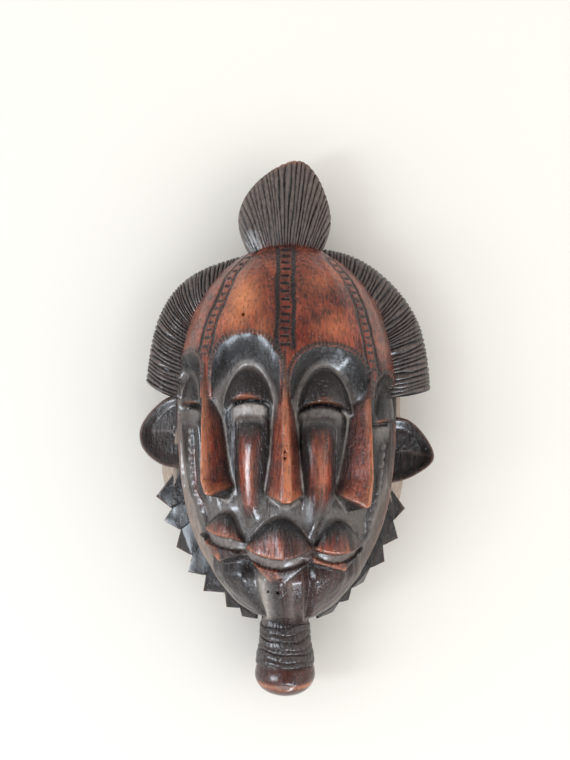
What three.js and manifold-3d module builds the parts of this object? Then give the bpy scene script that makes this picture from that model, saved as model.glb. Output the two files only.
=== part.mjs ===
// A carved wooden mask, cut from one block and hollowed from behind. One domed head carries three
// faces that share their eyes: three noses, four closed eyes and three mouths. A combed leaf of hair
// stands on the crown, a combed roll lies behind each temple, and below the ears the edge of the
// block is cut into teeth that run down to a ringed beard with a round end.
//
// Millimetres. X is to the viewer's right, Y runs from the beard up to the hair, and Z comes out of
// the face. The mask lies on its flat rear rim at Z = 0, with the origin in the middle of its length
// and width. Angles round the head are in degrees from straight ahead, and positive to the right.

import * as THREE from 'three';
import { mergeVertices } from 'three/addons/utils/BufferGeometryUtils.js';
import Module from 'manifold-3d';

const wasm = await Module();
wasm.setup();

// Overall sizes
const HALF_LENGTH = 180.3;
const HALF_WIDTH = 100.6;
const HAIR_TIP_X = 6.7;

// The domed head, above the plane of its widest section
const HEAD = {
  edgeZ: 34,
  widestY: 18,
  topY: 124,
  chinY: -134,
  halfWidth: 73,
  depth: 60,
  crownRound: { width: [2.2, 0.5], depth: [2.6, 0.5] },
  chinRound: { width: [3, 0.75], depth: [3.4, 0.6] },
  rearPoints: 4,
  rearSink: 0.4,
  edgeFadeFrom: 90,
  edgeFadeTo: 80,
  chinFade: 12,
};

// The carving's own guide lines: three equal faces side by side, one turn apart, which the carver
// set a little to the left, let lean together towards the chin, and let drop to the right
const GUIDE = {
  turn: 46.5,
  middle: -1.5,
  lean: 0.2,
  leanFromY: 40,
  leanToY: -40,
  drop: 0.09,
  chinStraighten: 30,
  sideMouthLift: 6,
};

// Where the columns and rows of the carving run, so that its edges fall on them
const COLUMN_STEPS_PER_TURN = 13;
const CARVED_COLUMNS_EACH_SIDE = 19;
const PLAIN_COLUMNS_EACH_SIDE = 3;
const ROW_BANDS = [
  { toY: 54, count: 7 },
  { toY: 12, count: 8 },
  { toY: 8.5, count: 1 },
  { toY: -44, count: 9 },
  { toY: -50, count: 1 },
  { toY: -78, count: 7 },
  { toY: -82, count: 1 },
  { toY: -98, count: 4 },
  { toY: -134, count: 5 },
];

// The block behind the head, with its flat rim at Z = 0. Outlines run anticlockwise, seen from the
// front, through (x, y) places.
const BLOCK = {
  outline: [
    [28, 118], [0, 121], [-28, 117], [-56, 101], [-74, 74], [-81, 45], [-82, 18], [-86.5, -10],
    [-88, -30], [-85, -44], [-78.5, -60], [-71.5, -77], [-64, -93], [-54.5, -107], [-42, -120],
    [-24, -130], [0, -134], [22, -129.5], [36, -119], [45.5, -108], [57, -96.5], [65, -81],
    [72, -64], [79, -52], [81.5, -40], [81.5, -15], [79, 12], [80, 45], [74, 76], [56, 103],
  ],
  middle: [0, -8],
  sides: 56,
  ringHeights: [0, 10, 20, 29],
  ringInsets: [0, 0, 5, 10],
};

// The hollow behind the face
const HOLLOW = {
  centreY: -4,
  halfWidth: 72,
  halfLength: 116,
  depth: 72,
  columns: 28,
  rows: 14,
};

// Each nose runs down from between two brows to its tip. Places are in turns from the middle face.
const NOSES = [-1, 0, 1];
const NOSE = {
  browY: 47,
  tipY: -44,
  rise: 13,
  ridgeTop: 1.2,
  ridgeTip: 4,
  flankSlope: 2.4,
  undersideDepth: 18,
  undersideHeight: 6,
  browSlope: 1.5,
};

// Each closed eye lies in a socket that reaches up to its brow
const EYES = [
  { turns: -1.37, socketHalfWidth: 18, browRise: 29 },
  { turns: -0.45, socketHalfWidth: 24, browRise: 38 },
  { turns: 0.46, socketHalfWidth: 24, browRise: 38 },
  { turns: 1.37, socketHalfWidth: 18, browRise: 29 },
];
const EYE = {
  slitY: 12,
  slitHeight: 3.5,
  slitDepth: 2.5,
  socketDepth: 9,
  socketFloorPart: 0.68,
  lidHalfWidth: 13.5,
  lidRise: 20,
  lidBulge: 7,
};

// The raised strip of cheek under each of the two front eyes
const CHEEKS = [-0.45, 0.46];
const CHEEK = {
  rise: 6.5,
  halfWidth: 8.5,
  topY: 3,
  bottomY: -74,
  fade: 20,
};

// Each mouth: a peaked upper lip, a gap, and a lower lip cut to a point
const MOUTHS = [
  { turns: -1.02, halfWidth: 15, lipHeight: 20 },
  { turns: 0, halfWidth: 23, lipHeight: 26 },
  { turns: 1.02, halfWidth: 16, lipHeight: 20 },
];
const MOUTH = {
  lipY: -78,
  gapHeight: 4,
  floorDepth: 7,
  lipRise: 13,
  lowerLipHeight: 18,
  lowerLipRise: 12,
  widthRound: 1.6,
  heightRound: 1.5,
  floorTopY: -48,
  floorTopFade: 12,
  floorBottomY: -104,
  floorBottomFade: 20,
  floorTurns: [1.5, 1.2],
  socketFade: [12, 42],
};

// The creases that part the chin from the two side jaws
const JAW = { turns: 0.5, creaseDepth: 3.5, creaseReach: 7, topY: -84, bottomY: -126, fade: [10, 16] };

// The three plaited bands on the forehead
const BANDS = { halfWidth: 5, bottomY: 52, fade: 4, sink: 1.2 };

// The border of teeth on each side, from a valley to a tip and back, with the outer facet of each
// tooth sloping from the line between its valleys down to its tip
const BORDERS = [
  {
    valleys: [
      [-74, -27.5], [-78.2, -55.2], [-72.2, -69.8], [-64.4, -87.2], [-55.2, -100.6], [-42.2, -112.2],
      [-32.2, -122.7], [-20, -130],
    ],
    tips: [
      [-89.4, -47.4], [-83.9, -63.9], [-76, -82.6], [-67.4, -98.5], [-57.2, -112.2],
      [-41.5, -123.4], [-30.8, -129.8],
    ],
  },
  {
    valleys: [
      [20, -130], [35.8, -118.8], [44.1, -109.3], [56.7, -95.6], [65.2, -80.2], [72.2, -63.4],
      [68.5, -39],
    ],
    tips: [
      [31.5, -127.4], [42, -118.2], [52.7, -106.9], [66.7, -92], [75.8, -75.9], [80.6, -55.6],
    ],
  },
];
const BORDER = {
  rootDepth: 19,
  towards: [0, -25],
  rootZ: 33,
  baseZ: 29.5,
  tipZ: 25,
  valleyStep: 1,
  tipRearZ: 14,
  rootRearZ: 6,
  sides: 5,
};

// The ears, dished plates that stand out level with the border
const EARS = [
  {
    middle: [-78, -3],
    outline: [
      [-60, 20], [-74, 22.5], [-80, 20.9], [-85.8, 17.2], [-93.7, 9.7], [-99, 1.8], [-HALF_WIDTH, -4.9],
      [-99.4, -12.2], [-94.8, -18.6], [-89.2, -23.3], [-82.5, -26.6], [-74.7, -27.6], [-60, -26],
      [-56, -3],
    ],
  },
  {
    middle: [77, -16],
    outline: [
      [56, -16], [58, -36], [71.6, -37.8], [79, -36], [85, -33.6], [92.8, -29], [98.6, -24.4],
      [HALF_WIDTH, -20], [98.8, -14.4], [95, -7.7], [89.4, -0.4], [82.4, 5.4], [74.3, 7.2], [60, 5],
    ],
  },
];
const EAR = {
  frontZ: 33,
  rearZ: 19,
  dishDepth: 4.6,
  columns: 36,
  rowParts: [0, 0.78, 0.95, 1, 1, 0],
  dishedRows: 2,
  frontRows: 4,
};

// The combed roll behind each temple. Its rim runs anticlockwise, and the combing is swept down
// from the crown.
const ROLLS = [
  {
    rim: [
      [97.6, 25.5], [97, 38.8], [95.2, 51], [93.4, 61], [90.4, 71.4], [86.1, 79.5], [80.7, 87.7],
      [73.9, 95.8], [65.1, 103.9], [54.9, 112.1], [46.1, 116.4], [36.6, 120], [20, 122], [2, 121.5],
    ],
    sweepDegrees: -13,
  },
  {
    rim: [
      [-4, 121], [-18, 120], [-31.9, 116.4], [-45, 112.6], [-57.6, 108], [-66, 103.4],
      [-75.3, 95.8], [-81.4, 87.7], [-85.8, 79.5], [-89.2, 71.4], [-92, 61], [-93.6, 50],
      [-95, 40], [-96, 31.5],
    ],
    sweepDegrees: 30,
  },
];
const ROLL = {
  halfBreadth: 20,
  sweepReach: 17,
  centreZ: 27,
  halfHeight: 16,
  grooves: 28,
  grooveDepth: 1.4,
  sides: 8,
};

// The combed leaf of hair on the crown
const LEAF = {
  fanY: 76,
  fanDegrees: 34,
  rootRadius: 20,
  widestY: 140,
  halfWidth: 31.3,
  leanX: -1.6,
  rootNarrowing: 5.6,
  rootStep: 20,
  middleZ: 30,
  middleHalfThickness: 19,
  edgeHalfThickness: 6,
  grooves: 24,
  grooveDepth: 1.2,
  radialSteps: 6,
  tipRound: [1.7, 0.62],
  tipBend: 2.4,
  sideRound: 3,
  endRound: 4,
  searchFrom: 40,
  searchSteps: 24,
};

// The ringed beard and its round end
const BEARD = {
  axisX: -1.2,
  axisZ: 29,
  rootY: -112,
  ringsTopY: -134,
  ringsBottomY: -160,
  ringCount: 5,
  rootRadius: 16,
  endRadius: 20,
  ringDepth: 1.4,
  ringCrest: [0.35, 0.75],
  knobRadius: 21,
  knobFlatRadius: 7,
  knobWidestPart: 0.62,
  knobSteps: 7,
  sides: 20,
};

const WOOD = new THREE.MeshStandardMaterial({ color: 0x4a2618, roughness: 0.45, metalness: 0 });

const RADIANS = Math.PI / 180;
const MERGE_DISTANCE = 1e-3;
const ON_AXIS = 1e-6;

// A row that sits on an edge of the carving counts as above that edge
const ON_EDGE = 0.1;

function clamp(value) {
  return Math.min(1, Math.max(0, value));
}

function ramp(low, high, value) {
  const part = clamp((value - low) / (high - low));
  return part * part * (3 - 2 * part);
}

function hill(offset, reach) {
  return Math.exp(-((offset / reach) ** 2));
}

// Makes a closed geometry a solid that can be joined and cut
function solidOf(geometry) {
  geometry.deleteAttribute('normal');
  geometry.deleteAttribute('uv');
  const merged = mergeVertices(geometry, MERGE_DISTANCE);
  return new wasm.Manifold(new wasm.Mesh({
    numProp: 3,
    vertProperties: new Float32Array(merged.attributes.position.array),
    triVerts: new Uint32Array(merged.index.array),
  }));
}

// Moves each point of a geometry to the place that a function gives it
function replaced(geometry, place) {
  const points = geometry.attributes.position;
  const point = new THREE.Vector3();
  for (let index = 0; index < points.count; index += 1) {
    point.fromBufferAttribute(points, index);
    const target = place(point, index);
    points.setXYZ(index, target.x, target.y, target.z);
  }
  return geometry;
}

// The side of a unit solid of revolution about Z that a point lies on, counted round from its seam
function sideOf(point, sides) {
  const turn = Math.atan2(point.y, point.x) / (2 * Math.PI);
  return (Math.round(turn * sides) + sides) % sides;
}

function isOnAxis(point) {
  return Math.hypot(point.x, point.y) < ON_AXIS;
}

// A smooth curve through flat places
function curveThrough(places, isClosed) {
  const points = places.map(([x, y]) => new THREE.Vector3(x, y, 0));
  return new THREE.CatmullRomCurve3(points, isClosed, 'centripetal');
}

// How far up or down the head a height lies: 0 at the widest section, 1 at the crown or the chin
function headPart(y) {
  const reach = y > HEAD.widestY ? HEAD.topY - HEAD.widestY : HEAD.widestY - HEAD.chinY;
  return Math.min(1, Math.abs(y - HEAD.widestY) / reach);
}

// How much of its full size the head keeps at a height, by a pair of roundness powers
function headFullness(y, key) {
  const [inner, outer] = (y > HEAD.widestY ? HEAD.crownRound : HEAD.chinRound)[key];
  return (1 - headPart(y) ** inner) ** outer;
}

function headHalfWidth(y) {
  return HEAD.halfWidth * headFullness(y, 'width');
}

function headDepth(y) {
  return HEAD.depth * headFullness(y, 'depth');
}

// How far the faces have leant together at a height, from 0 to 1
function leanPart(y) {
  return ramp(GUIDE.leanFromY, GUIDE.leanToY, y);
}

// The distance round the head between two places given in turns, at a height
function across(turns, from, y) {
  const radius = (HEAD.halfWidth + HEAD.depth) / 2;
  return (turns - from) * GUIDE.turn * RADIANS * radius * (1 - GUIDE.lean * leanPart(y));
}

// The socket, the lid and the slit of every eye
function eyeLevel(turns, y) {
  let socket = 0;
  let lid = 0;
  for (const eye of EYES) {
    const sideways = across(turns, eye.turns, y);
    const upwards = y - EYE.slitY;
    const isAbove = upwards > -ON_EDGE;
    const reach = Math.hypot(sideways / eye.socketHalfWidth, isAbove ? upwards / eye.browRise : 0);
    socket = Math.max(socket, 1 - ramp(EYE.socketFloorPart, 1, reach));
    const lidReach = Math.hypot(sideways / EYE.lidHalfWidth, upwards / EYE.lidRise);
    if (isAbove) {
      lid = Math.max(lid, EYE.lidBulge * Math.sqrt(clamp(1 - lidReach ** 2)));
    } else if (upwards > -EYE.slitHeight - ON_EDGE) {
      lid = Math.min(lid, -EYE.slitDepth * clamp(1 - (sideways / EYE.lidHalfWidth) ** 2));
    }
  }
  return lid - EYE.socketDepth * socket;
}

function cheekLevel(turns, y) {
  const length = ramp(CHEEK.topY, CHEEK.topY - CHEEK.fade, y)
    * ramp(CHEEK.bottomY, CHEEK.bottomY + CHEEK.fade, y);
  let level = 0;
  for (const place of CHEEKS) {
    level += CHEEK.rise * length * clamp(1 - (across(turns, place, y) / CHEEK.halfWidth) ** 2);
  }
  return level;
}

function noseLevel(turns, y, place) {
  const part = clamp((NOSE.browY - y) / (NOSE.browY - NOSE.tipY));
  const ridge = NOSE.ridgeTop + (NOSE.ridgeTip - NOSE.ridgeTop) * part;
  const flank = NOSE.flankSlope * Math.max(0, Math.abs(across(turns, place, y)) - ridge);
  const underside = NOSE.undersideDepth * Math.max(0, NOSE.tipY - y) / NOSE.undersideHeight;
  const aboveBrow = NOSE.browSlope * Math.max(0, y - NOSE.browY);
  return NOSE.rise * part - flank - underside - aboveBrow;
}

function lipLevel(turns, y, mouth) {
  const sideways = Math.abs(across(turns, mouth.turns, y)) / mouth.halfWidth;
  const above = (y - MOUTH.lipY) / mouth.lipHeight;
  const below = (MOUTH.lipY - MOUTH.gapHeight - y) / MOUTH.lowerLipHeight;
  if (y > MOUTH.lipY - ON_EDGE) {
    const fall = sideways ** MOUTH.widthRound + Math.max(0, above) ** MOUTH.heightRound;
    return -MOUTH.floorDepth + MOUTH.lipRise * (1 - fall);
  }
  return -MOUTH.floorDepth + MOUTH.lowerLipRise * (1 - sideways - Math.max(0, below));
}

// How deep the sunk ground between the noses and the chin lies
function mouthFloorLevel(turns, y) {
  const fromTop = ramp(MOUTH.floorTopY, MOUTH.floorTopY - MOUTH.floorTopFade, y);
  const fromBottom = ramp(MOUTH.floorBottomY, MOUTH.floorBottomY + MOUTH.floorBottomFade, y);
  return -MOUTH.floorDepth * fromTop * fromBottom * ramp(...MOUTH.floorTurns, Math.abs(turns));
}

// The creases beside the chin and the bands on the forehead, cut into whatever is there
function cutLevel(turns, y) {
  const onJaw = ramp(JAW.topY, JAW.topY - JAW.fade[0], y)
    * ramp(JAW.bottomY, JAW.bottomY + JAW.fade[1], y);
  let level = -JAW.creaseDepth * onJaw * hill(across(Math.abs(turns), JAW.turns, y), JAW.creaseReach);
  const onForehead = ramp(BANDS.bottomY, BANDS.bottomY + BANDS.fade, y);
  for (const place of NOSES) {
    level -= BANDS.sink * onForehead * hill(across(turns, place, y), BANDS.halfWidth);
  }
  return level;
}

// The height of the carving above the plain dome, on the guide lines
function relief(turns, y) {
  const [socketEnd, socketFull] = MOUTH.socketFade;
  const socketPart = ramp(MOUTH.floorBottomY + socketEnd, MOUTH.floorBottomY + socketFull, y);
  const ground = eyeLevel(turns, y) * socketPart + cheekLevel(turns, y);
  let level = Math.min(ground, mouthFloorLevel(turns, y));
  for (const place of NOSES) {
    level = Math.max(level, noseLevel(turns, y, place));
  }
  for (const mouth of MOUTHS) {
    level = Math.max(level, lipLevel(turns, y, mouth));
  }
  return level + cutLevel(turns, y);
}

// A point of the head's front, from the guide lines that cross there
function facePoint(turns, guideY) {
  const guideAngle = turns * GUIDE.turn;
  const inFront = 1 - (guideAngle / 90) ** 4;
  const angle = GUIDE.middle * inFront + guideAngle * (1 - GUIDE.lean * leanPart(guideY) * inFront);
  const onFace = ramp(HEAD.topY, BANDS.bottomY, guideY)
    * ramp(HEAD.chinY, HEAD.chinY + GUIDE.chinStraighten, guideY);
  const lift = GUIDE.sideMouthLift * ramp(MOUTH.floorTopY, MOUTH.lipY, guideY) * clamp(turns ** 2);
  const y = guideY + (lift - GUIDE.drop * guideAngle) * onFace * inFront;
  const width = headHalfWidth(y);
  const depth = headDepth(y);
  const sine = Math.sin(angle * RADIANS);
  const cosine = Math.cos(angle * RADIANS);
  const normal = new THREE.Vector2(sine * depth, cosine * width).normalize();
  const fade = ramp(HEAD.edgeFadeFrom, HEAD.edgeFadeTo, Math.abs(guideAngle))
    * ramp(HEAD.chinY, HEAD.chinY + HEAD.chinFade, guideY);
  const level = relief(turns, guideY) * fade;
  return new THREE.Vector3(
    width * sine + level * normal.x,
    y,
    HEAD.edgeZ + depth * cosine + level * normal.y,
  );
}

// The heights of the rows of the carving, from the crown to the chin
function rowHeights() {
  const heights = [HEAD.topY];
  for (const band of ROW_BANDS) {
    const fromY = heights[heights.length - 1];
    for (let row = 1; row <= band.count; row += 1) {
      heights.push(fromY + (band.toY - fromY) * row / band.count);
    }
  }
  return heights;
}

// The columns of the carving, in turns from the middle face
function columnTurns() {
  const carvedEdge = CARVED_COLUMNS_EACH_SIDE / COLUMN_STEPS_PER_TURN;
  const plainStep = (90 / GUIDE.turn - carvedEdge) / PLAIN_COLUMNS_EACH_SIDE;
  const right = [];
  for (let column = 1; column <= CARVED_COLUMNS_EACH_SIDE; column += 1) {
    right.push(column / COLUMN_STEPS_PER_TURN);
  }
  for (let column = 1; column <= PLAIN_COLUMNS_EACH_SIDE; column += 1) {
    right.push(carvedEdge + plainStep * column);
  }
  const left = right.map((turns) => -turns).reverse();
  return [...left, 0, ...right];
}

// The head: a globe with its front carved as the face and its rear sunk into the block
function headSolid() {
  const heights = rowHeights();
  const turns = columnTurns();
  const columns = turns.length - 1 + HEAD.rearPoints;
  const geometry = new THREE.SphereGeometry(1, columns, heights.length - 1);
  replaced(geometry, (point, index) => {
    const y = heights[Math.floor(index / (columns + 1))];
    const column = index % (columns + 1) % columns;
    if (column < turns.length) {
      return facePoint(turns[column], y);
    }
    const rear = (column - turns.length + 1) / HEAD.rearPoints * Math.PI;
    const sunk = HEAD.rearSink * headDepth(y) * Math.sin(rear);
    return new THREE.Vector3(headHalfWidth(y) * Math.cos(rear), y, HEAD.edgeZ - sunk);
  });
  return solidOf(geometry);
}

function blockSolid() {
  const rings = BLOCK.ringHeights.length - 1;
  const middle = new THREE.Vector3(...BLOCK.middle, 0);
  const outline = curveThrough(BLOCK.outline, true).getSpacedPoints(BLOCK.sides);
  const geometry = new THREE.CylinderGeometry(1, 1, 1, BLOCK.sides, rings);
  geometry.rotateX(Math.PI / 2);
  replaced(geometry, (point) => {
    const ring = Math.round((point.z + 0.5) * rings);
    if (isOnAxis(point)) {
      return middle.clone().setZ(BLOCK.ringHeights[ring]);
    }
    const place = outline[sideOf(point, BLOCK.sides)];
    const inwards = middle.clone().sub(place).setLength(BLOCK.ringInsets[ring]);
    return inwards.add(place).setZ(BLOCK.ringHeights[ring]);
  });
  return solidOf(geometry);
}

// A border of teeth: each pair of rows is one valley and one tip, and the sides go round from the
// root in front, over the base and the edge, to the root behind
function borderSolid({ valleys, tips }) {
  const rows = 2 * tips.length;
  const towards = new THREE.Vector3(...BORDER.towards, 0);
  const geometry = new THREE.CylinderGeometry(1, 1, 1, BORDER.sides, rows);
  geometry.rotateX(Math.PI / 2);
  return solidOf(replaced(geometry, (point) => {
    const row = Math.round((point.z + 0.5) * rows);
    const first = new THREE.Vector3(...valleys[Math.floor(row / 2)], 0);
    const second = new THREE.Vector3(...valleys[Math.ceil(row / 2)], 0);
    const base = first.add(second).divideScalar(2);
    const root = towards.clone().sub(base).setLength(BORDER.rootDepth).add(base);
    if (isOnAxis(point)) {
      return root.setZ((BORDER.rootZ + BORDER.rootRearZ) / 2);
    }
    const isTip = row % 2 === 1;
    const edge = isTip ? new THREE.Vector3(...tips[(row - 1) / 2], 0) : base.clone();
    const section = [
      root.clone().setZ(BORDER.rootZ),
      base.clone().setZ(BORDER.baseZ),
      edge.clone().setZ(isTip ? BORDER.tipZ : BORDER.baseZ - BORDER.valleyStep),
      edge.clone().setZ(BORDER.tipRearZ),
      root.clone().setZ(BORDER.rootRearZ),
    ];
    return section[sideOf(point, BORDER.sides)];
  }));
}

function earSolid({ middle, outline }) {
  const centre = new THREE.Vector3(...middle, 0);
  const rim = curveThrough(outline, true).getSpacedPoints(EAR.columns);
  const rows = EAR.rowParts.length - 1;
  const geometry = new THREE.SphereGeometry(1, EAR.columns, rows);
  geometry.rotateX(Math.PI / 2);
  return solidOf(replaced(geometry, (point) => {
    const row = Math.round(Math.acos(point.z) / Math.PI * rows);
    const part = EAR.rowParts[row];
    const place = centre.clone().lerp(rim[sideOf(point, EAR.columns)], part);
    const isDished = row < EAR.dishedRows;
    const isFront = row < EAR.frontRows;
    const frontZ = EAR.frontZ - (isDished ? EAR.dishDepth : 0);
    return place.setZ(isFront ? frontZ : EAR.rearZ);
  }));
}

// A combed roll: each pair of rows is one ridge and one groove across the roll
function rollSolid({ rim, sweepDegrees }) {
  const rows = 2 * ROLL.grooves;
  const line = curveThrough(rim, false);
  const slope = Math.tan(sweepDegrees * RADIANS);
  const geometry = new THREE.CylinderGeometry(1, 1, 1, ROLL.sides, rows);
  return solidOf(replaced(geometry, (point) => {
    const row = Math.round((point.y + 0.5) * rows);
    const grooveScale = row % 2 === 1 ? 1 - ROLL.grooveDepth / ROLL.halfHeight : 1;
    const heading = line.getTangentAt(row / rows);
    const inwards = new THREE.Vector3(-heading.y, heading.x, 0);
    const inset = (1 - point.x * grooveScale) * ROLL.halfBreadth;
    const slide = ROLL.sweepReach * Math.tanh(inset / ROLL.sweepReach) * slope;
    const place = line.getPointAt(row / rows)
      .addScaledVector(inwards, inset)
      .addScaledVector(heading, slide);
    return place.setZ(ROLL.centreZ + point.z * grooveScale * ROLL.halfHeight);
  }));
}

// Half the width of the leaf of hair at a height, and how far its middle leans to the right
function leafHalfWidth(y) {
  if (y < LEAF.widestY) {
    return LEAF.halfWidth - LEAF.rootNarrowing * ((LEAF.widestY - y) / LEAF.rootStep) ** 2;
  }
  const part = clamp((y - LEAF.widestY) / (HALF_LENGTH - LEAF.widestY));
  return LEAF.halfWidth * (1 - part ** LEAF.tipRound[0]) ** LEAF.tipRound[1];
}

function leafMiddle(y) {
  const part = clamp((y - LEAF.widestY) / (HALF_LENGTH - LEAF.widestY));
  return LEAF.leanX + (HAIR_TIP_X - LEAF.leanX) * part ** LEAF.tipBend;
}

// The distance from the fan's centre to the leaf's edge along one direction
function leafReach(direction) {
  let inside = LEAF.searchFrom;
  let outside = HALF_LENGTH;
  for (let step = 0; step < LEAF.searchSteps; step += 1) {
    const radius = (inside + outside) / 2;
    const y = LEAF.fanY + radius * Math.cos(direction);
    const offset = Math.abs(LEAF.leanX + radius * Math.sin(direction) - leafMiddle(y));
    const isInside = y < HALF_LENGTH && offset < leafHalfWidth(y);
    if (isInside) {
      inside = radius;
    } else {
      outside = radius;
    }
  }
  return inside;
}

function leafSolid() {
  const columns = 2 * LEAF.grooves;
  const geometry = new THREE.BoxGeometry(2, 1, 2, columns, LEAF.radialSteps, 1);
  replaced(geometry, (point) => {
    const column = Math.round((point.x + 1) * LEAF.grooves);
    const direction = point.x * LEAF.fanDegrees * RADIANS;
    const edgeNotch = column % 2 === 1 ? LEAF.grooveDepth : 0;
    const part = point.y + 0.5;
    const reach = leafReach(direction) - edgeNotch;
    const radius = LEAF.rootRadius + (reach - LEAF.rootRadius) * part;
    const toEdge = Math.max(Math.abs(point.x) ** LEAF.sideRound, part ** LEAF.endRound);
    const thickness = LEAF.middleHalfThickness
      + (LEAF.edgeHalfThickness - LEAF.middleHalfThickness) * toEdge - edgeNotch;
    const x = LEAF.leanX + radius * Math.sin(direction);
    const y = LEAF.fanY + radius * Math.cos(direction);
    return new THREE.Vector3(x, y, LEAF.middleZ + point.z * thickness);
  });
  return solidOf(geometry);
}

// The beard turns about its own axis: a round end, then rings that narrow towards the chin
function beardSolid() {
  const profile = [new THREE.Vector2(0, -HALF_LENGTH)];
  const knobLength = BEARD.ringsBottomY + HALF_LENGTH;
  const knobWidestY = -HALF_LENGTH + knobLength * BEARD.knobWidestPart;
  for (let step = 0; step <= BEARD.knobSteps; step += 1) {
    const turn = (step / BEARD.knobSteps) * Math.PI / 2;
    profile.push(new THREE.Vector2(
      BEARD.knobFlatRadius + (BEARD.knobRadius - BEARD.knobFlatRadius) * Math.sin(turn),
      knobWidestY - (knobWidestY + HALF_LENGTH) * Math.cos(turn),
    ));
  }
  const pitch = (BEARD.ringsTopY - BEARD.ringsBottomY) / BEARD.ringCount;
  for (let ring = 0; ring < BEARD.ringCount; ring += 1) {
    const radius = BEARD.endRadius + (BEARD.rootRadius - BEARD.endRadius) * ring / BEARD.ringCount;
    const y = BEARD.ringsBottomY + ring * pitch;
    profile.push(new THREE.Vector2(radius - BEARD.ringDepth, y));
    for (const part of BEARD.ringCrest) {
      profile.push(new THREE.Vector2(radius, y + pitch * part));
    }
  }
  const rootRadius = BEARD.rootRadius - BEARD.ringDepth;
  profile.push(new THREE.Vector2(rootRadius, BEARD.ringsTopY));
  profile.push(new THREE.Vector2(rootRadius, BEARD.rootY));
  profile.push(new THREE.Vector2(0, BEARD.rootY));
  const geometry = new THREE.LatheGeometry(profile, BEARD.sides);
  return solidOf(geometry.translate(BEARD.axisX, 0, BEARD.axisZ));
}

function hollowSolid() {
  const geometry = new THREE.SphereGeometry(1, HOLLOW.columns, HOLLOW.rows);
  geometry.scale(HOLLOW.halfWidth, HOLLOW.halfLength, HOLLOW.depth);
  geometry.translate(0, HOLLOW.centreY, 0);
  return solidOf(geometry);
}

function maskSolid() {
  const added = [blockSolid(), leafSolid(), beardSolid()];
  for (const ear of EARS) {
    added.push(earSolid(ear));
  }
  for (const roll of ROLLS) {
    added.push(rollSolid(roll));
  }
  for (const border of BORDERS) {
    added.push(borderSolid(border));
  }
  let mask = headSolid();
  for (const solid of added) {
    mask = mask.add(solid);
  }
  return mask.subtract(hollowSolid());
}

function meshOf(name, solid, material) {
  const { vertProperties, triVerts } = solid.getMesh();
  const geometry = new THREE.BufferGeometry();
  geometry.setAttribute('position', new THREE.BufferAttribute(vertProperties, 3));
  geometry.setIndex(new THREE.BufferAttribute(triVerts, 1));
  geometry.computeVertexNormals();
  const mesh = new THREE.Mesh(geometry, material);
  mesh.name = name;
  return mesh;
}

const mask = new THREE.Group();
mask.add(meshOf('carved_mask', maskSolid(), WOOD));

export default mask;
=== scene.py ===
"""A carved, stained and polished wooden mask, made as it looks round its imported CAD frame.

One domed head carries three faces that share their eyes. A combed leaf of hair stands on the crown,
a combed roll lies behind each temple, and the edge of the block below the ears is cut into teeth that
run down to a ringed beard. The parts are shaped one by one in millimetres, joined into the one block
of wood that they are, and hollowed from behind. X is to the viewer's right, Y runs from the beard up
to the hair, and Z comes out of the face. Places on the face are given as they are seen from straight
in front.
"""

from __future__ import annotations

import logging
import math
from dataclasses import dataclass, field
from enum import Enum

import bmesh
import bpy
import numpy as np
from mathutils import Matrix, Vector
from mathutils.kdtree import KDTree

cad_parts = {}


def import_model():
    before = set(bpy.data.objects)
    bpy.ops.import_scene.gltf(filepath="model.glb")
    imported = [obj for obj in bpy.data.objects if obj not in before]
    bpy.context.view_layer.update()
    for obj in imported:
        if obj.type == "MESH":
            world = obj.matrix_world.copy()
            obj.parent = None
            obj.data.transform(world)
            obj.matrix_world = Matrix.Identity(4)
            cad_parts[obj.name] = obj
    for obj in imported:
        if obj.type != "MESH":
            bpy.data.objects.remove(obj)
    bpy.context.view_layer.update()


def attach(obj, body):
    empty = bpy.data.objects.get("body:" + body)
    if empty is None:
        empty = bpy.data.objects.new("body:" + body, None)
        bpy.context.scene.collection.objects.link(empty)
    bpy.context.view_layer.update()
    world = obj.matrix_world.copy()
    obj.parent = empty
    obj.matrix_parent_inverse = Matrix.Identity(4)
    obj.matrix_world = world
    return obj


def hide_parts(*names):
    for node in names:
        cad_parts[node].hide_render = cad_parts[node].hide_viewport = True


LOG = logging.getLogger("mask")

Values = np.ndarray
Pair = tuple[float, float]
Points = tuple[Pair, ...]
Shape = bmesh.types.BMesh

CAD_NODE = "carved_mask"
BODY = "root"
METRES_PER_MM = 0.001

HALF_LENGTH = 180.3
HAIR_TIP_X = 6.7
SEAM_DISTANCE = 1e-5
PROFILE_SEAM = 1e-4

# A height that marks where a feature isn't, and the level that parts it from all real heights.
FAR_BELOW = -99.0
PRESENT = -50.0
TINY = 1e-6


class Coat(Enum):
    """The layers of colour that the stain, the handling and the dust have left on the wood; the dust coat
    also carries painted sheen on the temples, the chin and the left ear.
    """

    RED = "stain_red"
    DUST = "dust"
    WORN = "worn"
    BARE = "bare_wood"
    CREST = "crest"


def share(value: Values) -> Values:
    """Keep values from 0 to 1."""
    return np.clip(value, 0.0, 1.0)


def ramp(low: float, high: float, value: Values) -> Values:
    """Rise smoothly from 0 at low to 1 at high.

    Args:
        low: The value where the rise starts.
        high: The value where it ends, which may be below low.
        value: The values to place on the rise.

    Returns:
        The height of the rise at each value.
    """
    part = share((value - low) / (high - low))
    return part * part * (3.0 - 2.0 * part)


def hill(offset: Values, reach: float) -> Values:
    """Give a smooth hump that is 1 at no offset and dies away past its reach."""
    return np.exp(-((offset / reach) ** 2))


def rounded_max(first: Values, second: Values, blend: float) -> Values:
    """Take the higher of two surfaces, with a small fillet where they meet.

    Args:
        first: The one surface's heights.
        second: The other surface's heights.
        blend: The difference in height over which the fillet reaches.

    Returns:
        The heights of the joined surface.
    """
    part = share(0.5 + 0.5 * (first - second) / blend)
    return second + (first - second) * part + blend * part * (1.0 - part) * 0.5


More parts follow.
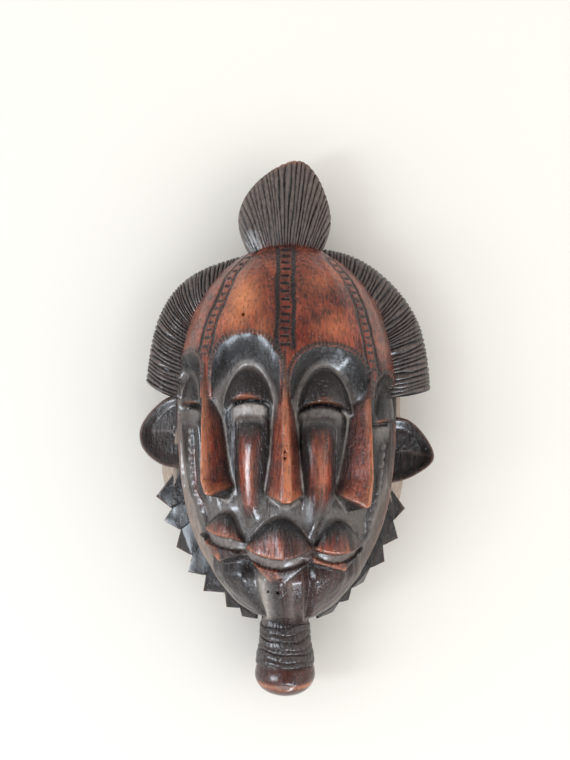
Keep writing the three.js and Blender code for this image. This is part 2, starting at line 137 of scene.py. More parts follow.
def blurred(values: Values, rows: float, columns: float) -> Values:
    """Smooth a grid of values with a bell curve along its rows and columns.

    Args:
        values: The grid.
        rows: The reach of the smoothing down the grid, in grid steps.
        columns: The reach of the smoothing across the grid, in grid steps.

    Returns:
        The smoothed grid.
    """
    result = values
    for axis, reach in ((0, rows), (1, columns)):
        if reach <= 0:
            continue
        span = int(math.ceil(2.5 * reach))
        weights = np.exp(-0.5 * (np.arange(-span, span + 1) / reach) ** 2)
        weights /= weights.sum()
        padding = [(0, 0), (0, 0)]
        padding[axis] = (span, span)
        padded = np.pad(result, padding, mode="edge")
        count = result.shape[axis]
        total = np.zeros_like(result)
        for step, weight in enumerate(weights):
            total += weight * (padded[step:step + count] if axis == 0 else padded[:, step:step + count])
        result = total
    return result


def tooled(shape: tuple[int, int], rows: float, columns: float, seed: int) -> Values:
    """Give the even unevenness of hand tooling: smoothed noise with a spread of 1.

    Args:
        shape: The size of the grid.
        rows: The reach of one tool mark down the grid, in grid steps.
        columns: The reach of one tool mark across the grid, in grid steps.
        seed: The start of the random order.

    Returns:
        The grid of heights.
    """
    noise = blurred(np.random.default_rng(seed).standard_normal(shape), rows, columns)
    return noise / noise.std()


@dataclass
class Part:
    """One shaped part of the block, closed all round, with its points and the coats on them."""

    name: str
    shape: Shape
    points: Values
    coats: dict[Coat, Values]


def put_in_scene(name: str, data: bpy.types.ID) -> bpy.types.Object:
    """Make an object of a mesh, a lamp or a camera, and put it in the scene."""
    made = bpy.data.objects.new(name, data)
    bpy.context.scene.collection.objects.link(made)
    return made


def mesh_object(name: str, shape: Shape) -> bpy.types.Object:
    """Make an object of a shape, and free the shape."""
    mesh = bpy.data.meshes.new(name)
    shape.to_mesh(mesh)
    shape.free()
    return put_in_scene(name, mesh)


def points_of(shape: Shape) -> Values:
    """Read the places of all points of a shape as one array."""
    return np.array([vert.co for vert in shape.verts], dtype=float).reshape(-1, 3)


def move_points(shape: Shape, points: Values) -> None:
    """Move every point of a shape to its new place."""
    for vert, place in zip(shape.verts, points.tolist()):
        vert.co = place


def closed_part(name: str, shape: Shape, points: Values, **coats: Values | float) -> Part:
    """Bend a closed shape to its points, turn its faces outwards and lay its coats on it.

    Args:
        name: The part's name.
        shape: The closed shape.
        points: The place of each of its points.
        **coats: The amount of each coat by its name in Coat, in lower case; none of one that isn't named.

    Returns:
        The part.
    """
    move_points(shape, points)
    bmesh.ops.recalc_face_normals(shape, faces=shape.faces)
    laid = {coat: np.zeros(len(points)) + coats.get(coat.name.lower(), 0.0) for coat in Coat}
    return Part(name, shape, points, laid)


def unit(ways: Values) -> Values:
    """Bring every way in a list to a length of 1."""
    return ways / np.linalg.norm(ways, axis=1)[:, None]


def uneven_comb(station: Values, count: int, spare: int, wander: float, depths: Pair,
                seed: int) -> tuple[Values, Values]:
    """Comb grooves by hand: their spacing drifts a little, and each has its own depth.

    Args:
        station: How many even grooves lie before each place.
        count: How many grooves there are.
        spare: How many more steps the drift takes.
        wander: How far the spacing drifts from one groove to the next.
        depths: The least and the greatest share of the full depth that a groove is cut to.
        seed: The start of the random order.

    Returns:
        The phase of each place in the drifted grooves, and the share of the full depth of each groove.
    """
    rng = np.random.default_rng(seed)
    drift = np.cumsum(rng.normal(0.0, wander, count + spare))
    drift -= np.linspace(drift[0], drift[-1], len(drift))
    return station + np.interp(station, np.arange(len(drift)), drift), rng.uniform(*depths, count + 4)


def groove_depth(groove: Values, phase: Values, depth_each: Values) -> Values:
    """Give each groove its own depth."""
    return groove * depth_each[np.clip(phase.astype(int) + 1, 0, len(depth_each) - 1)]


def crest_on(ridge: Values) -> Values:
    """Give the crest coat of combed hair, where ridge is 1 between two grooves."""
    return 0.25 + 0.75 * ramp(0.1, 0.7, ridge)


def places_at(places: Points | Values, at: Values) -> Values:
    """Read a row of places at fractional numbers along it."""
    row = np.array(places)
    return np.stack([np.interp(at, np.arange(len(row)), row[:, axis]) for axis in (0, 1)], axis=1)


def even_line(places: Points, count: int, softness: float, closed: bool = False) -> Values:
    """Lay evenly spaced points along a line through some places, with its corners rounded.

    Args:
        places: The places, in order.
        count: How many points are laid.
        softness: How far the rounding of a corner reaches, in millimetres.
        closed: Whether the line comes back to its start.

    Returns:
        One (x, y) place for each point.
    """
    corners = np.array(places + places[:1] if closed else places, float)
    lengths = np.concatenate([[0.0], np.cumsum(np.hypot(*np.diff(corners, axis=0).T))])
    stations = np.linspace(0.0, lengths[-1], count, endpoint=not closed)
    line = np.stack([np.interp(stations, lengths, corners[:, axis]) for axis in (0, 1)])
    reach = softness / (lengths[-1] / count)
    spare = min(count - 1, int(math.ceil(3.0 * reach)))
    around = {"mode": "wrap"} if closed else {"mode": "reflect", "reflect_type": "odd"}
    padded = np.pad(line, ((0, 0), (spare, spare)), **around)
    return blurred(padded, 0.0, reach)[:, spare:spare + count].T


def globe(columns: int, rows: int) -> tuple[Shape, Values, Values]:
    """Roll a grid up into a globe to start a closed part, and tell each point's column and row on it.

    Args:
        columns: How many points go round the globe.
        rows: How many steps go from its first pole, at row 0, to its last.

    Returns:
        The shape, the column of each point and the row of each point.
    """
    shape = bmesh.new()
    bmesh.ops.create_grid(shape, x_segments=columns, y_segments=rows, size=1.0)
    flat = points_of(shape)
    across, down = flat[:, 0] * math.pi, (flat[:, 1] - 1.0) / 2.0 * math.pi
    places = np.stack([np.cos(across) * np.sin(-down), np.sin(across) * np.sin(-down), np.cos(down)], axis=1)
    move_points(shape, places)
    bmesh.ops.remove_doubles(shape, verts=shape.verts, dist=SEAM_DISTANCE)
    places = points_of(shape)
    round_it = np.arctan2(places[:, 1], places[:, 0]) / (2.0 * math.pi)
    column = np.rint(round_it * columns).astype(int) % columns
    row = np.rint(np.arccos(np.clip(places[:, 2], -1.0, 1.0)) / math.pi * rows).astype(int)
    return shape, column, row


@dataclass(frozen=True)
class Dome:
    """The plain egg shape of the head before it is carved, in front of its widest section."""

    edge_z: float = 34.0
    widest_y: float = 18.0
    top_y: float = 124.0
    chin_y: float = -134.0
    half_width: float = 73.0
    full_depth: float = 60.0
    crown_width: Pair = (2.2, 0.5)
    crown_depth: Pair = (2.6, 0.5)
    chin_width: Pair = (3.0, 0.75)
    chin_depth: Pair = (3.4, 0.6)

    def fullness(self, y: Values, crown: Pair, chin: Pair) -> Values:
        """Tell how much of its full size the head keeps at a height.

        Args:
            y: The heights.
            crown: The two powers that round the crown.
            chin: The two powers that round the chin.

        Returns:
            The share of the full size, from 0 to 1.
        """
        above = share((y - self.widest_y) / (self.top_y - self.widest_y))
        below = share((self.widest_y - y) / (self.widest_y - self.chin_y))
        top = (1.0 - above ** crown[0]) ** crown[1]
        bottom = (1.0 - below ** chin[0]) ** chin[1]
        return np.where(y > self.widest_y, top, bottom)

    def width(self, y: Values) -> Values:
        """Give half the head's width at each height."""
        return self.half_width * self.fullness(y, self.crown_width, self.chin_width)

    def depth(self, y: Values) -> Values:
        """Give how far the head stands forward at each height."""
        return self.full_depth * self.fullness(y, self.crown_depth, self.chin_depth)


@dataclass
class FaceGrid:
    """The lines along which the face is carved: rows at set heights, and columns round the dome."""

    dome: Dome
    columns: int = 430
    rear_columns: int = 36
    rows: int = 450
    end_crowding: float = 0.55

    def __post_init__(self) -> None:
        """Work out the plain dome under every crossing of the lines."""
        part = np.linspace(0.0, 1.0, self.rows + 1)
        eased = part - self.end_crowding * np.sin(2.0 * math.pi * part) / (2.0 * math.pi)
        self.y = (self.dome.top_y + (self.dome.chin_y - self.dome.top_y) * eased)[:, None]
        self.angle = np.linspace(-90.0, 90.0, self.columns + 1)[None, :]
        sine = np.sin(np.radians(self.angle))
        cosine = np.cos(np.radians(self.angle))
        width = np.maximum(self.dome.width(self.y), TINY)
        depth = np.maximum(self.dome.depth(self.y), TINY)
        self.x = width * sine
        self.z = self.dome.edge_z + depth * cosine
        length = np.hypot(sine * depth, cosine * width)
        self.out_x = sine * depth / length
        self.out_z = cosine * width / length
        steps = np.hypot(np.diff(self.x, axis=1), np.diff(self.z, axis=1))
        arc = np.concatenate([np.zeros((self.rows + 1, 1)), np.cumsum(steps, axis=1)], axis=1)
        self.arc = arc - arc[:, [self.columns // 2]]
        self.edge_gap = np.minimum(arc, arc[:, [-1]] - arc)

    def line(self, places: Points, level: float | Values = 0.0) -> Values:
        """Lay a line down the face through places that are seen from in front.

        Args:
            places: The line's (y, x) places.
            level: How far above the dome the line runs, one number or a column of one for each row.

        Returns:
            For each row, how far round the face from its middle the line is, as a column.
        """
        ordered = sorted(places)
        seen_x = np.interp(self.y[:, 0], [y for y, _ in ordered], [x for _, x in ordered])
        shown = self.x + level * self.out_x
        return np.array([[np.interp(seen_x[row], shown[row], self.arc[row])]
                         for row in range(self.rows + 1)])

    def spot(self, x: float, y: float, level: float = 0.0) -> float:
        """Tell how far round the face one place is, that is seen at (x, y)."""
        row = int(np.abs(self.y[:, 0] - y).argmin())
        return float(np.interp(x, self.x[row] + level * self.out_x[row], self.arc[row]))


@dataclass(frozen=True)
class Eye:
    """A closed eye in its socket, under a brow with a dotted rim."""

    rim: Pair
    rim_top: Pair
    leg_y: float
    arch: Pair
    arch_top_y: float
    lid: Pair
    lid_y: Pair
    depth: float = 9.5
    roundness: float = 2.15
    lid_arch: float = 2.6
    lid_bulge: float = 6.5
    slit_depth: float = 2.0
    slit_height: float = 2.5
    shelf_rise: float = 1.8
    rim_width: float = 2.6
    bead_pitch: float = 2.3
    shelf_dust: float = 0.32
    arch_dust: float = 0.50

    def reaches(self, face: FaceGrid) -> tuple[Values, Values]:
        """Measure how far each place lies from the socket's middle, against its rim.

        Args:
            face: The lines of the face.

        Returns:
            The reach, 1 on the rim, and the distance outside the rim in millimetres.
        """
        middle = face.spot(*self.rim_top)
        left = middle - face.spot(self.rim[0], self.leg_y)
        right = face.spot(self.rim[1], self.leg_y) - middle
        across = face.arc - middle
        sideways = np.abs(across) / np.where(across < 0, left, right)
        height = self.rim_top[1] - self.leg_y
        upwards = np.maximum(0, face.y - self.leg_y) / height
        reach = (sideways ** self.roundness + upwards ** self.roundness) ** (1.0 / self.roundness)
        radius = np.hypot(across, np.maximum(0, face.y - self.leg_y)) / np.maximum(reach, TINY)
        return reach, (reach - 1.0) * radius

    def lid_edge(self, face: FaceGrid) -> tuple[Values, Values]:
        """Lay the lower edge of the closed lid.

        Args:
            face: The lines of the face.

        Returns:
            The edge's height at each place, and the place along the lid from -1 to 1.
        """
        level = self.lid_bulge - self.depth
        left = face.spot(self.lid[0], self.lid_y[0], level)
        right = face.spot(self.lid[1], self.lid_y[1], level)
        along = (face.arc - (left + right) / 2.0) / ((right - left) / 2.0)
        slope = (self.lid_y[1] - self.lid_y[0]) / 2.0
        arched = self.lid_arch * (1.0 - np.clip(np.abs(along), 0.0, 1.4) ** 2)
        edge = (self.lid_y[0] + self.lid_y[1]) / 2.0 + slope * np.clip(along, -1.6, 1.6) + arched
        return edge, along

    def arch_reach(self, face: FaceGrid, edge: Values) -> Values:
        """Measure each place against the arch round the lid, where the socket is deepest.

        Args:
            face: The lines of the face.
            edge: The height of the lid's lower edge at each place.

        Returns:
            The reach, 1 on the arch.
        """
        left = face.spot(self.arch[0], self.lid_y[0], -self.depth)
        right = face.spot(self.arch[1], self.lid_y[1], -self.depth)
        sideways = (face.arc - (left + right) / 2.0) / ((right - left) / 2.0)
        height = self.arch_top_y - (self.lid_y[0] + self.lid_y[1]) / 2.0
        upwards = np.maximum(0, face.y - edge) / height
        return np.hypot(sideways, upwards)


@dataclass(frozen=True)
class Nose:
    """A long straight nose: a wedge that rises from between two brows to its tip."""

    ridge: Points
    tip_y: float
    brow_y: float
    rise: float
    left_slope: float
    right_slope: float
    flat_top: float
    flat_tip: float
    underside: float = 4.2
    root_steeper: float = 0.8
    flat_power: float = 1.6
    crown: float = 0.35
    brow_fall: float = 1.6
    tip_slope: Pair = (0.30, 0.30)

    def level(self, face: FaceGrid) -> tuple[Values, Values, Values, Values]:
        """Give the height of the nose above the dome.

        Args:
            face: The lines of the face.

        Returns:
            The heights, the distance across from the ridge, how far down the nose each row is, and how
            far past its tip each place lies.
        """
        part = share((self.brow_y - face.y) / (self.brow_y - self.tip_y))
        rise = self.rise * part
        across = face.arc - face.line(self.ridge, rise)
        half_flat = (self.flat_top + (self.flat_tip - self.flat_top) * part ** self.flat_power) / 2.0
        steeper = 1.0 + self.root_steeper * (1.0 - part)
        left = self.left_slope * steeper * np.maximum(0, -across - half_flat)
        right = self.right_slope * steeper * np.maximum(0, across - half_flat)
        crown = self.crown * (across / np.maximum(half_flat, 0.5)) ** 2
        tip_round = np.where(across < 0, -self.tip_slope[0], self.tip_slope[1]) * across \
            * ramp(0, 4, np.abs(across))
        past_tip = self.tip_y + tip_round - face.y
        under = self.underside * np.maximum(0, past_tip)
        above = self.brow_fall * np.maximum(0, face.y - self.brow_y)
        level = rise - np.minimum(crown, self.crown) - left - right - under - above
        return level, across, part, past_tip


@dataclass(frozen=True)
class Cheek:
    """A raised strip of cheek between two noses, under an eye."""

    line: Points
    half_width: float
    top_y: float
    bottom_y: float
    crest: float
    top_fade: float = 9.0
    bottom_fade: float = 22.0
    taper_y: float = -30.0
    bottom_width: float = 0.6
    bead_count: int = 0

    def level(self, face: FaceGrid, ground: float) -> tuple[Values, Values, Values]:
        """Give the height of the strip above the dome.

        Args:
            face: The lines of the face.
            ground: The level of the valleys beside it.

        Returns:
            The heights, how strongly each place belongs to the strip, and how near it is to the strip's
            middle line, both from 0 to 1.
        """
        across = face.arc - face.line(self.line, self.crest)
        length = ramp(self.top_y, self.top_y - self.top_fade, face.y) \
            * ramp(self.bottom_y, self.bottom_y + self.bottom_fade, face.y)
        taper = 1.0 - (1.0 - self.bottom_width) * ramp(self.taper_y, self.bottom_y, face.y)
        side = ramp(1.0, 0.08, np.abs(across) / (self.half_width * taper))
        member = side * length
        return ground + (self.crest - ground) * member, member, side


@dataclass(frozen=True)
class Mouth:
    """A mouth: a peaked upper lip, a sunk ledge, and a lower lip cut to a point."""

    middle_x: float
    edge_y: float
    left: Pair
    right: Pair
    peak_y: float
    ridge_x: float
    rise: float
    ledge_height: float
    lower_tip: Pair
    lower_left: Pair
    lower_right: Pair
    lower_rise: float
    ground: float = -6.6
    top_power: float = 2.0
    # The stain on the lips' left facets; the right facets get less red, which is painted shade.
    left_red: float = 0.9
    shaded_right_red: float = 0.35


@dataclass(frozen=True)
class Band:
    """A plaited band on the forehead: a ladder of small squares between two dotted grooves."""

    line: Points
    bottom_y: float
    half_ladder: float = 2.9
    groove_at: float = 5.2
    groove_half: float = 1.7
    pitch: float = 4.9
    sink: float = 0.75
    swell: float = 3.0
    swell_reach: float = 21.0


EYES = (
    Eye(rim=(-71.4, -55.2), rim_top=(-62.6, 50.5), leg_y=38, arch=(-69, -57), arch_top_y=33.5,
        lid=(-69.6, -57.6), lid_y=(14.5, 15), depth=7.5, lid_bulge=5, lid_arch=2.2,
        shelf_rise=1.6, slit_height=3, arch_dust=0.24),
    Eye(rim=(-48.2, -4.2), rim_top=(-24.5, 61.5), leg_y=38, arch=(-40.2, -8.6), arch_top_y=38,
        lid=(-37.6, -14.6), lid_y=(17.6, 18.6), shelf_dust=0.80, shelf_rise=0.7),
    Eye(rim=(1.6, 53.2), rim_top=(23, 53.4), leg_y=29, arch=(6.6, 41), arch_top_y=35.5,
        lid=(7.6, 39), lid_y=(13.6, 13.4), depth=11.2, lid_bulge=8.2, lid_arch=4.4, arch_dust=0.40),
    Eye(rim=(55.4, 72.6), rim_top=(64.4, 36), leg_y=20, arch=(56.4, 71), arch_top_y=28.8,
        lid=(55.4, 68.6), lid_y=(3.9, 4.3), depth=6.5, lid_bulge=5.5, lid_arch=0.4,
        shelf_rise=1.2, slit_height=2.4, arch_dust=0.10),
)

NOSES = (
    Nose(ridge=((60, -53), (43.6, -53), (10, -54), (-30, -53.6), (-39, -50.5), (-46, -49.5)),
         tip_y=-39.5, brow_y=50, rise=12.5, left_slope=2.6, right_slope=2.7, flat_top=1.6, flat_tip=3,
         tip_slope=(0.3, 0.55)),
    Nose(ridge=((60, -1.6), (47.6, -1.6), (20, -1.4), (-20, -0.6), (-42, -0.8), (-50, -0.8)),
         tip_y=-43, brow_y=52, rise=12.6, left_slope=1.40, right_slope=2, flat_top=1.8, flat_tip=6),
    Nose(ridge=((60, 54), (29.8, 53.4), (0, 53.4), (-30, 53.6), (-44, 51.4), (-52, 49.5)),
         tip_y=-47.5, brow_y=36, rise=12.6, left_slope=1.75, right_slope=2.6, flat_top=1.2, flat_tip=3.5,
         tip_slope=(0.62, 0.1)),
)

CHEEKS = (
    Cheek(line=((8, -24), (-20, -24.2), (-50, -23.4), (-70, -25)), half_width=13, top_y=9,
          bottom_y=-63, crest=-1.8, bottom_fade=18, top_fade=18),
    Cheek(line=((8, 21), (-20, 21.4), (-44, 21), (-64, 16.8)), half_width=13, top_y=8,
          bottom_y=-72, crest=-2.8, bottom_fade=16, taper_y=-36, bottom_width=0.35, top_fade=18),
    Cheek(line=((10, -63), (-10, -63.6), (-40, -62), (-56, -57)), half_width=5.4, top_y=8,
          bottom_y=-66, crest=-1.2, bottom_fade=34, bead_count=10),
    Cheek(line=((0, 64.2), (-14, 62.9), (-50, 58.4), (-60, 56)), half_width=6.4, top_y=-2,
          bottom_y=-74, crest=-1.2, bottom_fade=34, bead_count=10),
)

MOUTHS = (
    Mouth(middle_x=-41.6, edge_y=-67.6, left=(-53.4, -64), right=(-28.6, -70.6),
          peak_y=-51.5, ridge_x=-41.5, rise=10.5, ledge_height=8, shaded_right_red=0.5,
          lower_tip=(-44.5, -84), lower_left=(-53, -74), lower_right=(-30.5, -78.5), lower_rise=1.6),
    Mouth(middle_x=-4.4, edge_y=-80.2, left=(-26.6, -73.9), right=(16, -73.3),
          peak_y=-53.5, ridge_x=-2.4, rise=14, ledge_height=7.2,
          lower_tip=(-6, -99.5), lower_left=(-25, -79.5), lower_right=(16, -80.5), lower_rise=4),
    Mouth(middle_x=34, edge_y=-78.6, left=(17.2, -74.8), right=(48, -74.2),
          peak_y=-56, ridge_x=39.4, rise=11, ledge_height=6, shaded_right_red=0.2,
          lower_tip=(37, -90), lower_left=(16.6, -82.5), lower_right=(44.5, -83), lower_rise=1.6),
)

BANDS = (
    Band(line=((124, -18), (101, -38.5), (89.5, -43), (70, -50), (48, -53.6)), bottom_y=47),
    Band(line=((124, -1), (48, -1.2)), bottom_y=50, swell=3, swell_reach=17),
    Band(line=((124, 22), (96.7, 42.2), (80.7, 49.2), (59, 53.7), (33.3, 55.6)), bottom_y=34),
)


@dataclass
class Chin:
    """The chin in the middle and a jaw on each side of it, parted by two creases."""

    left_crease: Points = ((-76, -26.4), (-90, -23.6), (-110, -19.6), (-127, -16))
    right_crease: Points = ((-76, 15.6), (-127, 13.4))
    top_y: float = -79.0
    full_y: float = -93.0
    bottom_y: float = -130.0
    bottom_fade: float = 9.0
    section: Points = ((-1.2, 0), (-0.55, 2.4), (-0.16, 0.2), (0, -5.6), (0.22, 2.6), (0.31, 3.4),
                       (0.46, 4.4), (0.52, 4.9), (0.68, 1.4), (0.86, 2), (1, -3.8),
                       (1.12, 0.6), (1.6, 2.6), (2.4, 0.4))
    # Pale strips down the chin's planes and how much dust colour each gets: partly a dusty film, partly
    # painted sheen on the planes.
    dust_and_sheen_strips: Points = ((0.16, 0.15), (0.67, 0.06))
    strip_dust_and_sheen: Pair = (0.95, 0.22)

    def level(self, face: FaceGrid) -> tuple[Values, Values]:
        """Give the height of the chin and the jaws above the dome.

        Args:
            face: The lines of the face.

        Returns:
            The heights, and the place across the chin from 0 at its left crease to 1 at its right.
        """
        left = face.line(self.left_crease)
        right = face.line(self.right_crease)
        across = (face.arc - left) / (right - left)
        level = np.interp(across, [place for place, _ in self.section], [rise for _, rise in self.section])
        level = blurred(level, 0.0, 2.4)
        length = ramp(self.top_y, self.full_y, face.y) \
            * ramp(self.bottom_y, self.bottom_y + self.bottom_fade, face.y)
        return level * length, across


@dataclass
class Head:
    """The domed head with its three faces, carved step by step from the plain dome.

    Its ground is the height of the carving above the dome at every crossing of the face's lines.
    """

    face: FaceGrid = field(default_factory=lambda: FaceGrid(Dome()))
    plain_red: float = 0.88
    trough: float = 6.6
    side_ground: float = -4.2
    mouth_floor: float = 6.6
    rear_sink: float = 0.4
    edge_fade: Pair = (89.0, 84.0)
    chin_fade: float = 7.0
    top_fade: float = 2.0
    rim_rise: float = 1.1
    rim_groove: Pair = (0.55, 0.1)
    holes: tuple[tuple[float, float, float], ...] = (
        (-27.8, 73, 0.9), (-1.2, -11.8, 0.7), (-1.2, -15.9, 0.75),
        (-5.4, -102.5, 0.8), (-11.4, -102, 0.7))
    hole_depth: float = 2.6
    worn_patches: tuple[tuple[float, ...], ...] = (
        (-28, 84, 11, 15, 0.85), (-33, 71, 10, 9, 0.62), (-17, 66, 8, 8, 0.30),
        (22, 95, 11, 8, 0.26), (30, 66, 12, 8, 0.30))
    shaded_crown: Pair = (-1.0, 13.0)
    seed: int = 7

    def __post_init__(self) -> None:
        """Start from the plain, evenly stained dome."""
        shape = self.face.arc.shape
        self.y = self.face.y + np.zeros(shape)
        self.red = np.full(shape, self.plain_red)
        self.socket_depth = np.full(shape, self.trough)
        self.lids = np.full(shape, FAR_BELOW)
        self.patchy = 0.16 * tooled(shape, 16.0, 5.0, self.seed + 5)
        (self.ground, self.dust, self.worn, self.sunk, self.slit_level, self.slits, self.rims, self.beads,
         self.lid_worn, self.brow_shade, self.lips_here, self.band_grooves) = np.zeros((12, *shape))

    def carve(self) -> dict[Coat, Values]:
        """Carve the three faces into the dome, and lay the coats on them.

        Returns:
            The coats at every crossing of the lines.
        """
        for eye in EYES:
            self.cut_eye(eye)
        self.sink_ground()
        for cheek in CHEEKS:
            self.raise_cheek(cheek)
        self.raise_noses()
        self.carve_mouths()
        self.cut_forehead()
        rim = self.work_surface()
        self.weather(rim)
        bare = np.where(self.face.arc > 0.0, 0.24, 0.55) * rim * (0.45 + 0.55 * ramp(10, -60, self.y))
        return {Coat.RED: self.red * (1.0 - 0.55 * rim), Coat.DUST: self.dust, Coat.WORN: self.worn,
                Coat.BARE: bare, Coat.CREST: 0.20 * self.lips_here}

    def add_dust_and_sheen(self, dust: Values) -> None:
        """Lay dust, and the painted sheen carried with it, wherever less of it lies."""
        self.dust = np.maximum(self.dust, dust)

    def add_wear(self, worn: Values) -> None:
        """Rub the stain wherever less of it is rubbed off."""
        self.worn = np.maximum(self.worn, worn)

    def cut_eye(self, eye: Eye) -> None:
        """Cut one eye's socket, with its lid, its slit and the shelf below.

        Args:
            eye: The eye.
        """
        face, y = self.face, self.y
        reach, outside = eye.reaches(face)
        edge, along = eye.lid_edge(face)
        arch = eye.arch_reach(face, edge)
        part = share((1.0 - reach) / np.maximum(TINY, (1.0 - reach) + (arch - 1.0)))
        part = np.where(reach >= 1.0, 0.0, np.where(arch <= 1.0, 1.0, part))
        bowl = ramp(0, 1, part ** 0.85) * 0.60 + 0.40 * part ** 0.85
        is_here = bowl > self.sunk
        self.sunk = np.where(is_here, bowl, self.sunk)
        self.socket_depth = np.where(is_here, eye.depth, self.socket_depth)

        above = y - edge
        dome = share(1.0 - arch ** 2) ** 0.55
        lid_foot = -eye.depth - eye.slit_depth
        lid = lid_foot + (eye.lid_bulge * dome + eye.slit_depth) * ramp(-0.8, 0.6, above)
        lid = np.where((above >= -0.8) & (arch < 1.0), lid, FAR_BELOW)
        self.lids = np.maximum(self.lids, lid)
        mid_lid = hill(along, 0.62)
        self.lid_worn = np.maximum(self.lid_worn, 0.42 * hill(above - 0.6, 0.8) * (arch < 1.0) * mid_lid)
        self.red = np.where(lid > PRESENT, 0.03 + 0.85 * hill(above - 0.8, 2.0) * mid_lid, self.red)

        below, height = -above, eye.slit_height
        beside = ramp(1.22, 0.80, np.abs(along)) * (below > 0)
        cut = beside * ramp(height, height * 0.6, below)
        shelf = beside * ramp(height * 0.6, height * 1.5, below) * ramp(24, 5, below)
        self.slit_level = self.slit_level - eye.slit_depth * cut + eye.shelf_rise * shelf
        in_slit = ramp(1.15, 0.90, np.abs(along)) * ramp(-1.0, 0.2, below) \
            * ramp(height * 1.25, height * 0.85, below)
        self.slits = np.maximum(self.slits, in_slit)

        in_socket = ramp(-8, 2, above) * (reach < 0.97)
        self.add_dust_and_sheen(eye.arch_dust * hill((arch - 1.08) * 14.0, 1.9) * in_socket)
        self.add_dust_and_sheen(0.20 * eye.arch_dust * hill((arch - 1.12) * 14.0, 3.4) * in_socket)
        shelf_here = beside * ramp(height, height * 1.6, below) * ramp(17, 6, below)
        self.add_dust_and_sheen(eye.shelf_dust * shelf_here)
        self.bead_rim(eye, reach, outside)

    def bead_rim(self, eye: Eye, reach: Values, outside: Values) -> None:
        """Mark where one eye's dotted rim and the shade under its brow lie.

        Args:
            eye: The eye.
            reach: How far each place lies from the socket's middle, 1 on its rim.
            outside: The distance outside the rim.
        """
        face, y = self.face, self.y
        on_arc = (y > eye.leg_y - 6.0) & (outside > -0.5) & (outside < 7.0) & (face.edge_gap > 4.0)
        profile = ramp(0.0, 0.6, outside) * ramp(eye.rim_width + 0.5, eye.rim_width - 0.1, outside)
        turn = np.arctan2(y - eye.leg_y, face.arc - face.spot(*eye.rim_top))
        way = turn * 0.5 * ((eye.rim_top[1] - eye.leg_y) + 0.5 * (eye.rim[1] - eye.rim[0]))
        bead = 0.5 + 0.5 * np.cos(2.0 * math.pi * way / eye.bead_pitch)
        self.rims = np.maximum(self.rims, np.where(on_arc, profile, 0.0))
        self.beads = np.where(on_arc & (profile > 0.2), bead, self.beads)
        shade = np.where(y > eye.leg_y - 30.0, ramp(1.0, 0.985, reach), 0.0)
        self.brow_shade = np.maximum(self.brow_shade, shade)

    def sink_ground(self) -> None:
        """Sink the sockets and the valleys beside the noses, and leave the lids standing in them."""
        face, y = self.face, self.y
        self.red = self.red * (1.0 - self.brow_shade * np.where(self.lids > PRESENT, 0.0, 1.0)) \
            * (1.0 - self.slits * (self.lids < PRESENT))
        mouth_part = ramp(-40, -50, y)
        floor_out = 1.0 + (ramp(6, 18, face.edge_gap) - 1.0) * ramp(-30, -56, y)
        floor_bottom = ramp(-97, -82, y)
        below_eyes = np.where(y < 20.0, ramp(30, 5, y) * ramp(5.5, 10.0, face.edge_gap), 0.0)
        self.sunk = np.maximum(self.sunk * ramp(-46, -38, y), below_eyes * floor_bottom)
        depth = self.socket_depth + (self.mouth_floor - self.socket_depth) * mouth_part
        outer = np.abs(face.angle) > 52.0
        depth = np.where(outer & (y < 8.0), np.minimum(depth, 3.4 + 2.4 * mouth_part), depth)
        depth = blurred(depth, 3.0, 3.0)
        ground = (self.slit_level - depth * self.sunk * floor_out) * ramp(0.5, 4.0, face.edge_gap)
        self.ground = np.maximum(ground, self.lids)
        self.red = self.red * (1.0 - 0.95 * ramp(-0.5, -3.0, self.ground) * (y < 20.0))

    def raise_cheek(self, cheek: Cheek) -> None:
        """Leave one strip of cheek standing, plain and rubbed or with a row of beads.

        Args:
            cheek: The strip.
        """
        face, y = self.face, self.y
        strip, member, side = cheek.level(face, -self.trough if cheek.bead_count == 0 else self.side_ground)
        if cheek.bead_count:
            across = face.arc - face.line(cheek.line, cheek.crest)
            span = cheek.top_y - cheek.bottom_y
            way = (cheek.top_y - 6.0 - y) / (span * 0.8) * cheek.bead_count
            on_row = (way > 0) & (way < cheek.bead_count)
            bump = share(np.sin(math.pi * (way % 1.0))) ** 0.6 * hill(across, 2.6)
            strip = strip + np.where(on_row, 1.7 * bump - 0.9 * hill(across, 4.0), 0.0)
            self.add_dust_and_sheen(np.where(on_row, 0.34 * bump, 0.0))
            streak = ramp(0.8, 2.2, across) * ramp(6, 4, across) \
                * ramp(-6, -20, y) * ramp(-58, -46, y)
            self.red = np.maximum(self.red, 0.62 * streak)
        else:
            rubbed = ramp(0.34, 0.90, side + self.patchy) * ramp(-58, -38, y) * ramp(4, -8, y)
            self.red = np.maximum(self.red, (0.86 + self.patchy) * rubbed)
            self.add_dust_and_sheen(0.17 * member * (1.0 - rubbed))
            self.add_wear(0.20 * ramp(0.8, 1.0, side) * ramp(-46, -34, y) * ramp(-6, -18, y))
        self.ground = rounded_max(self.ground, np.where(member > 0.001, strip, FAR_BELOW), 0.8)

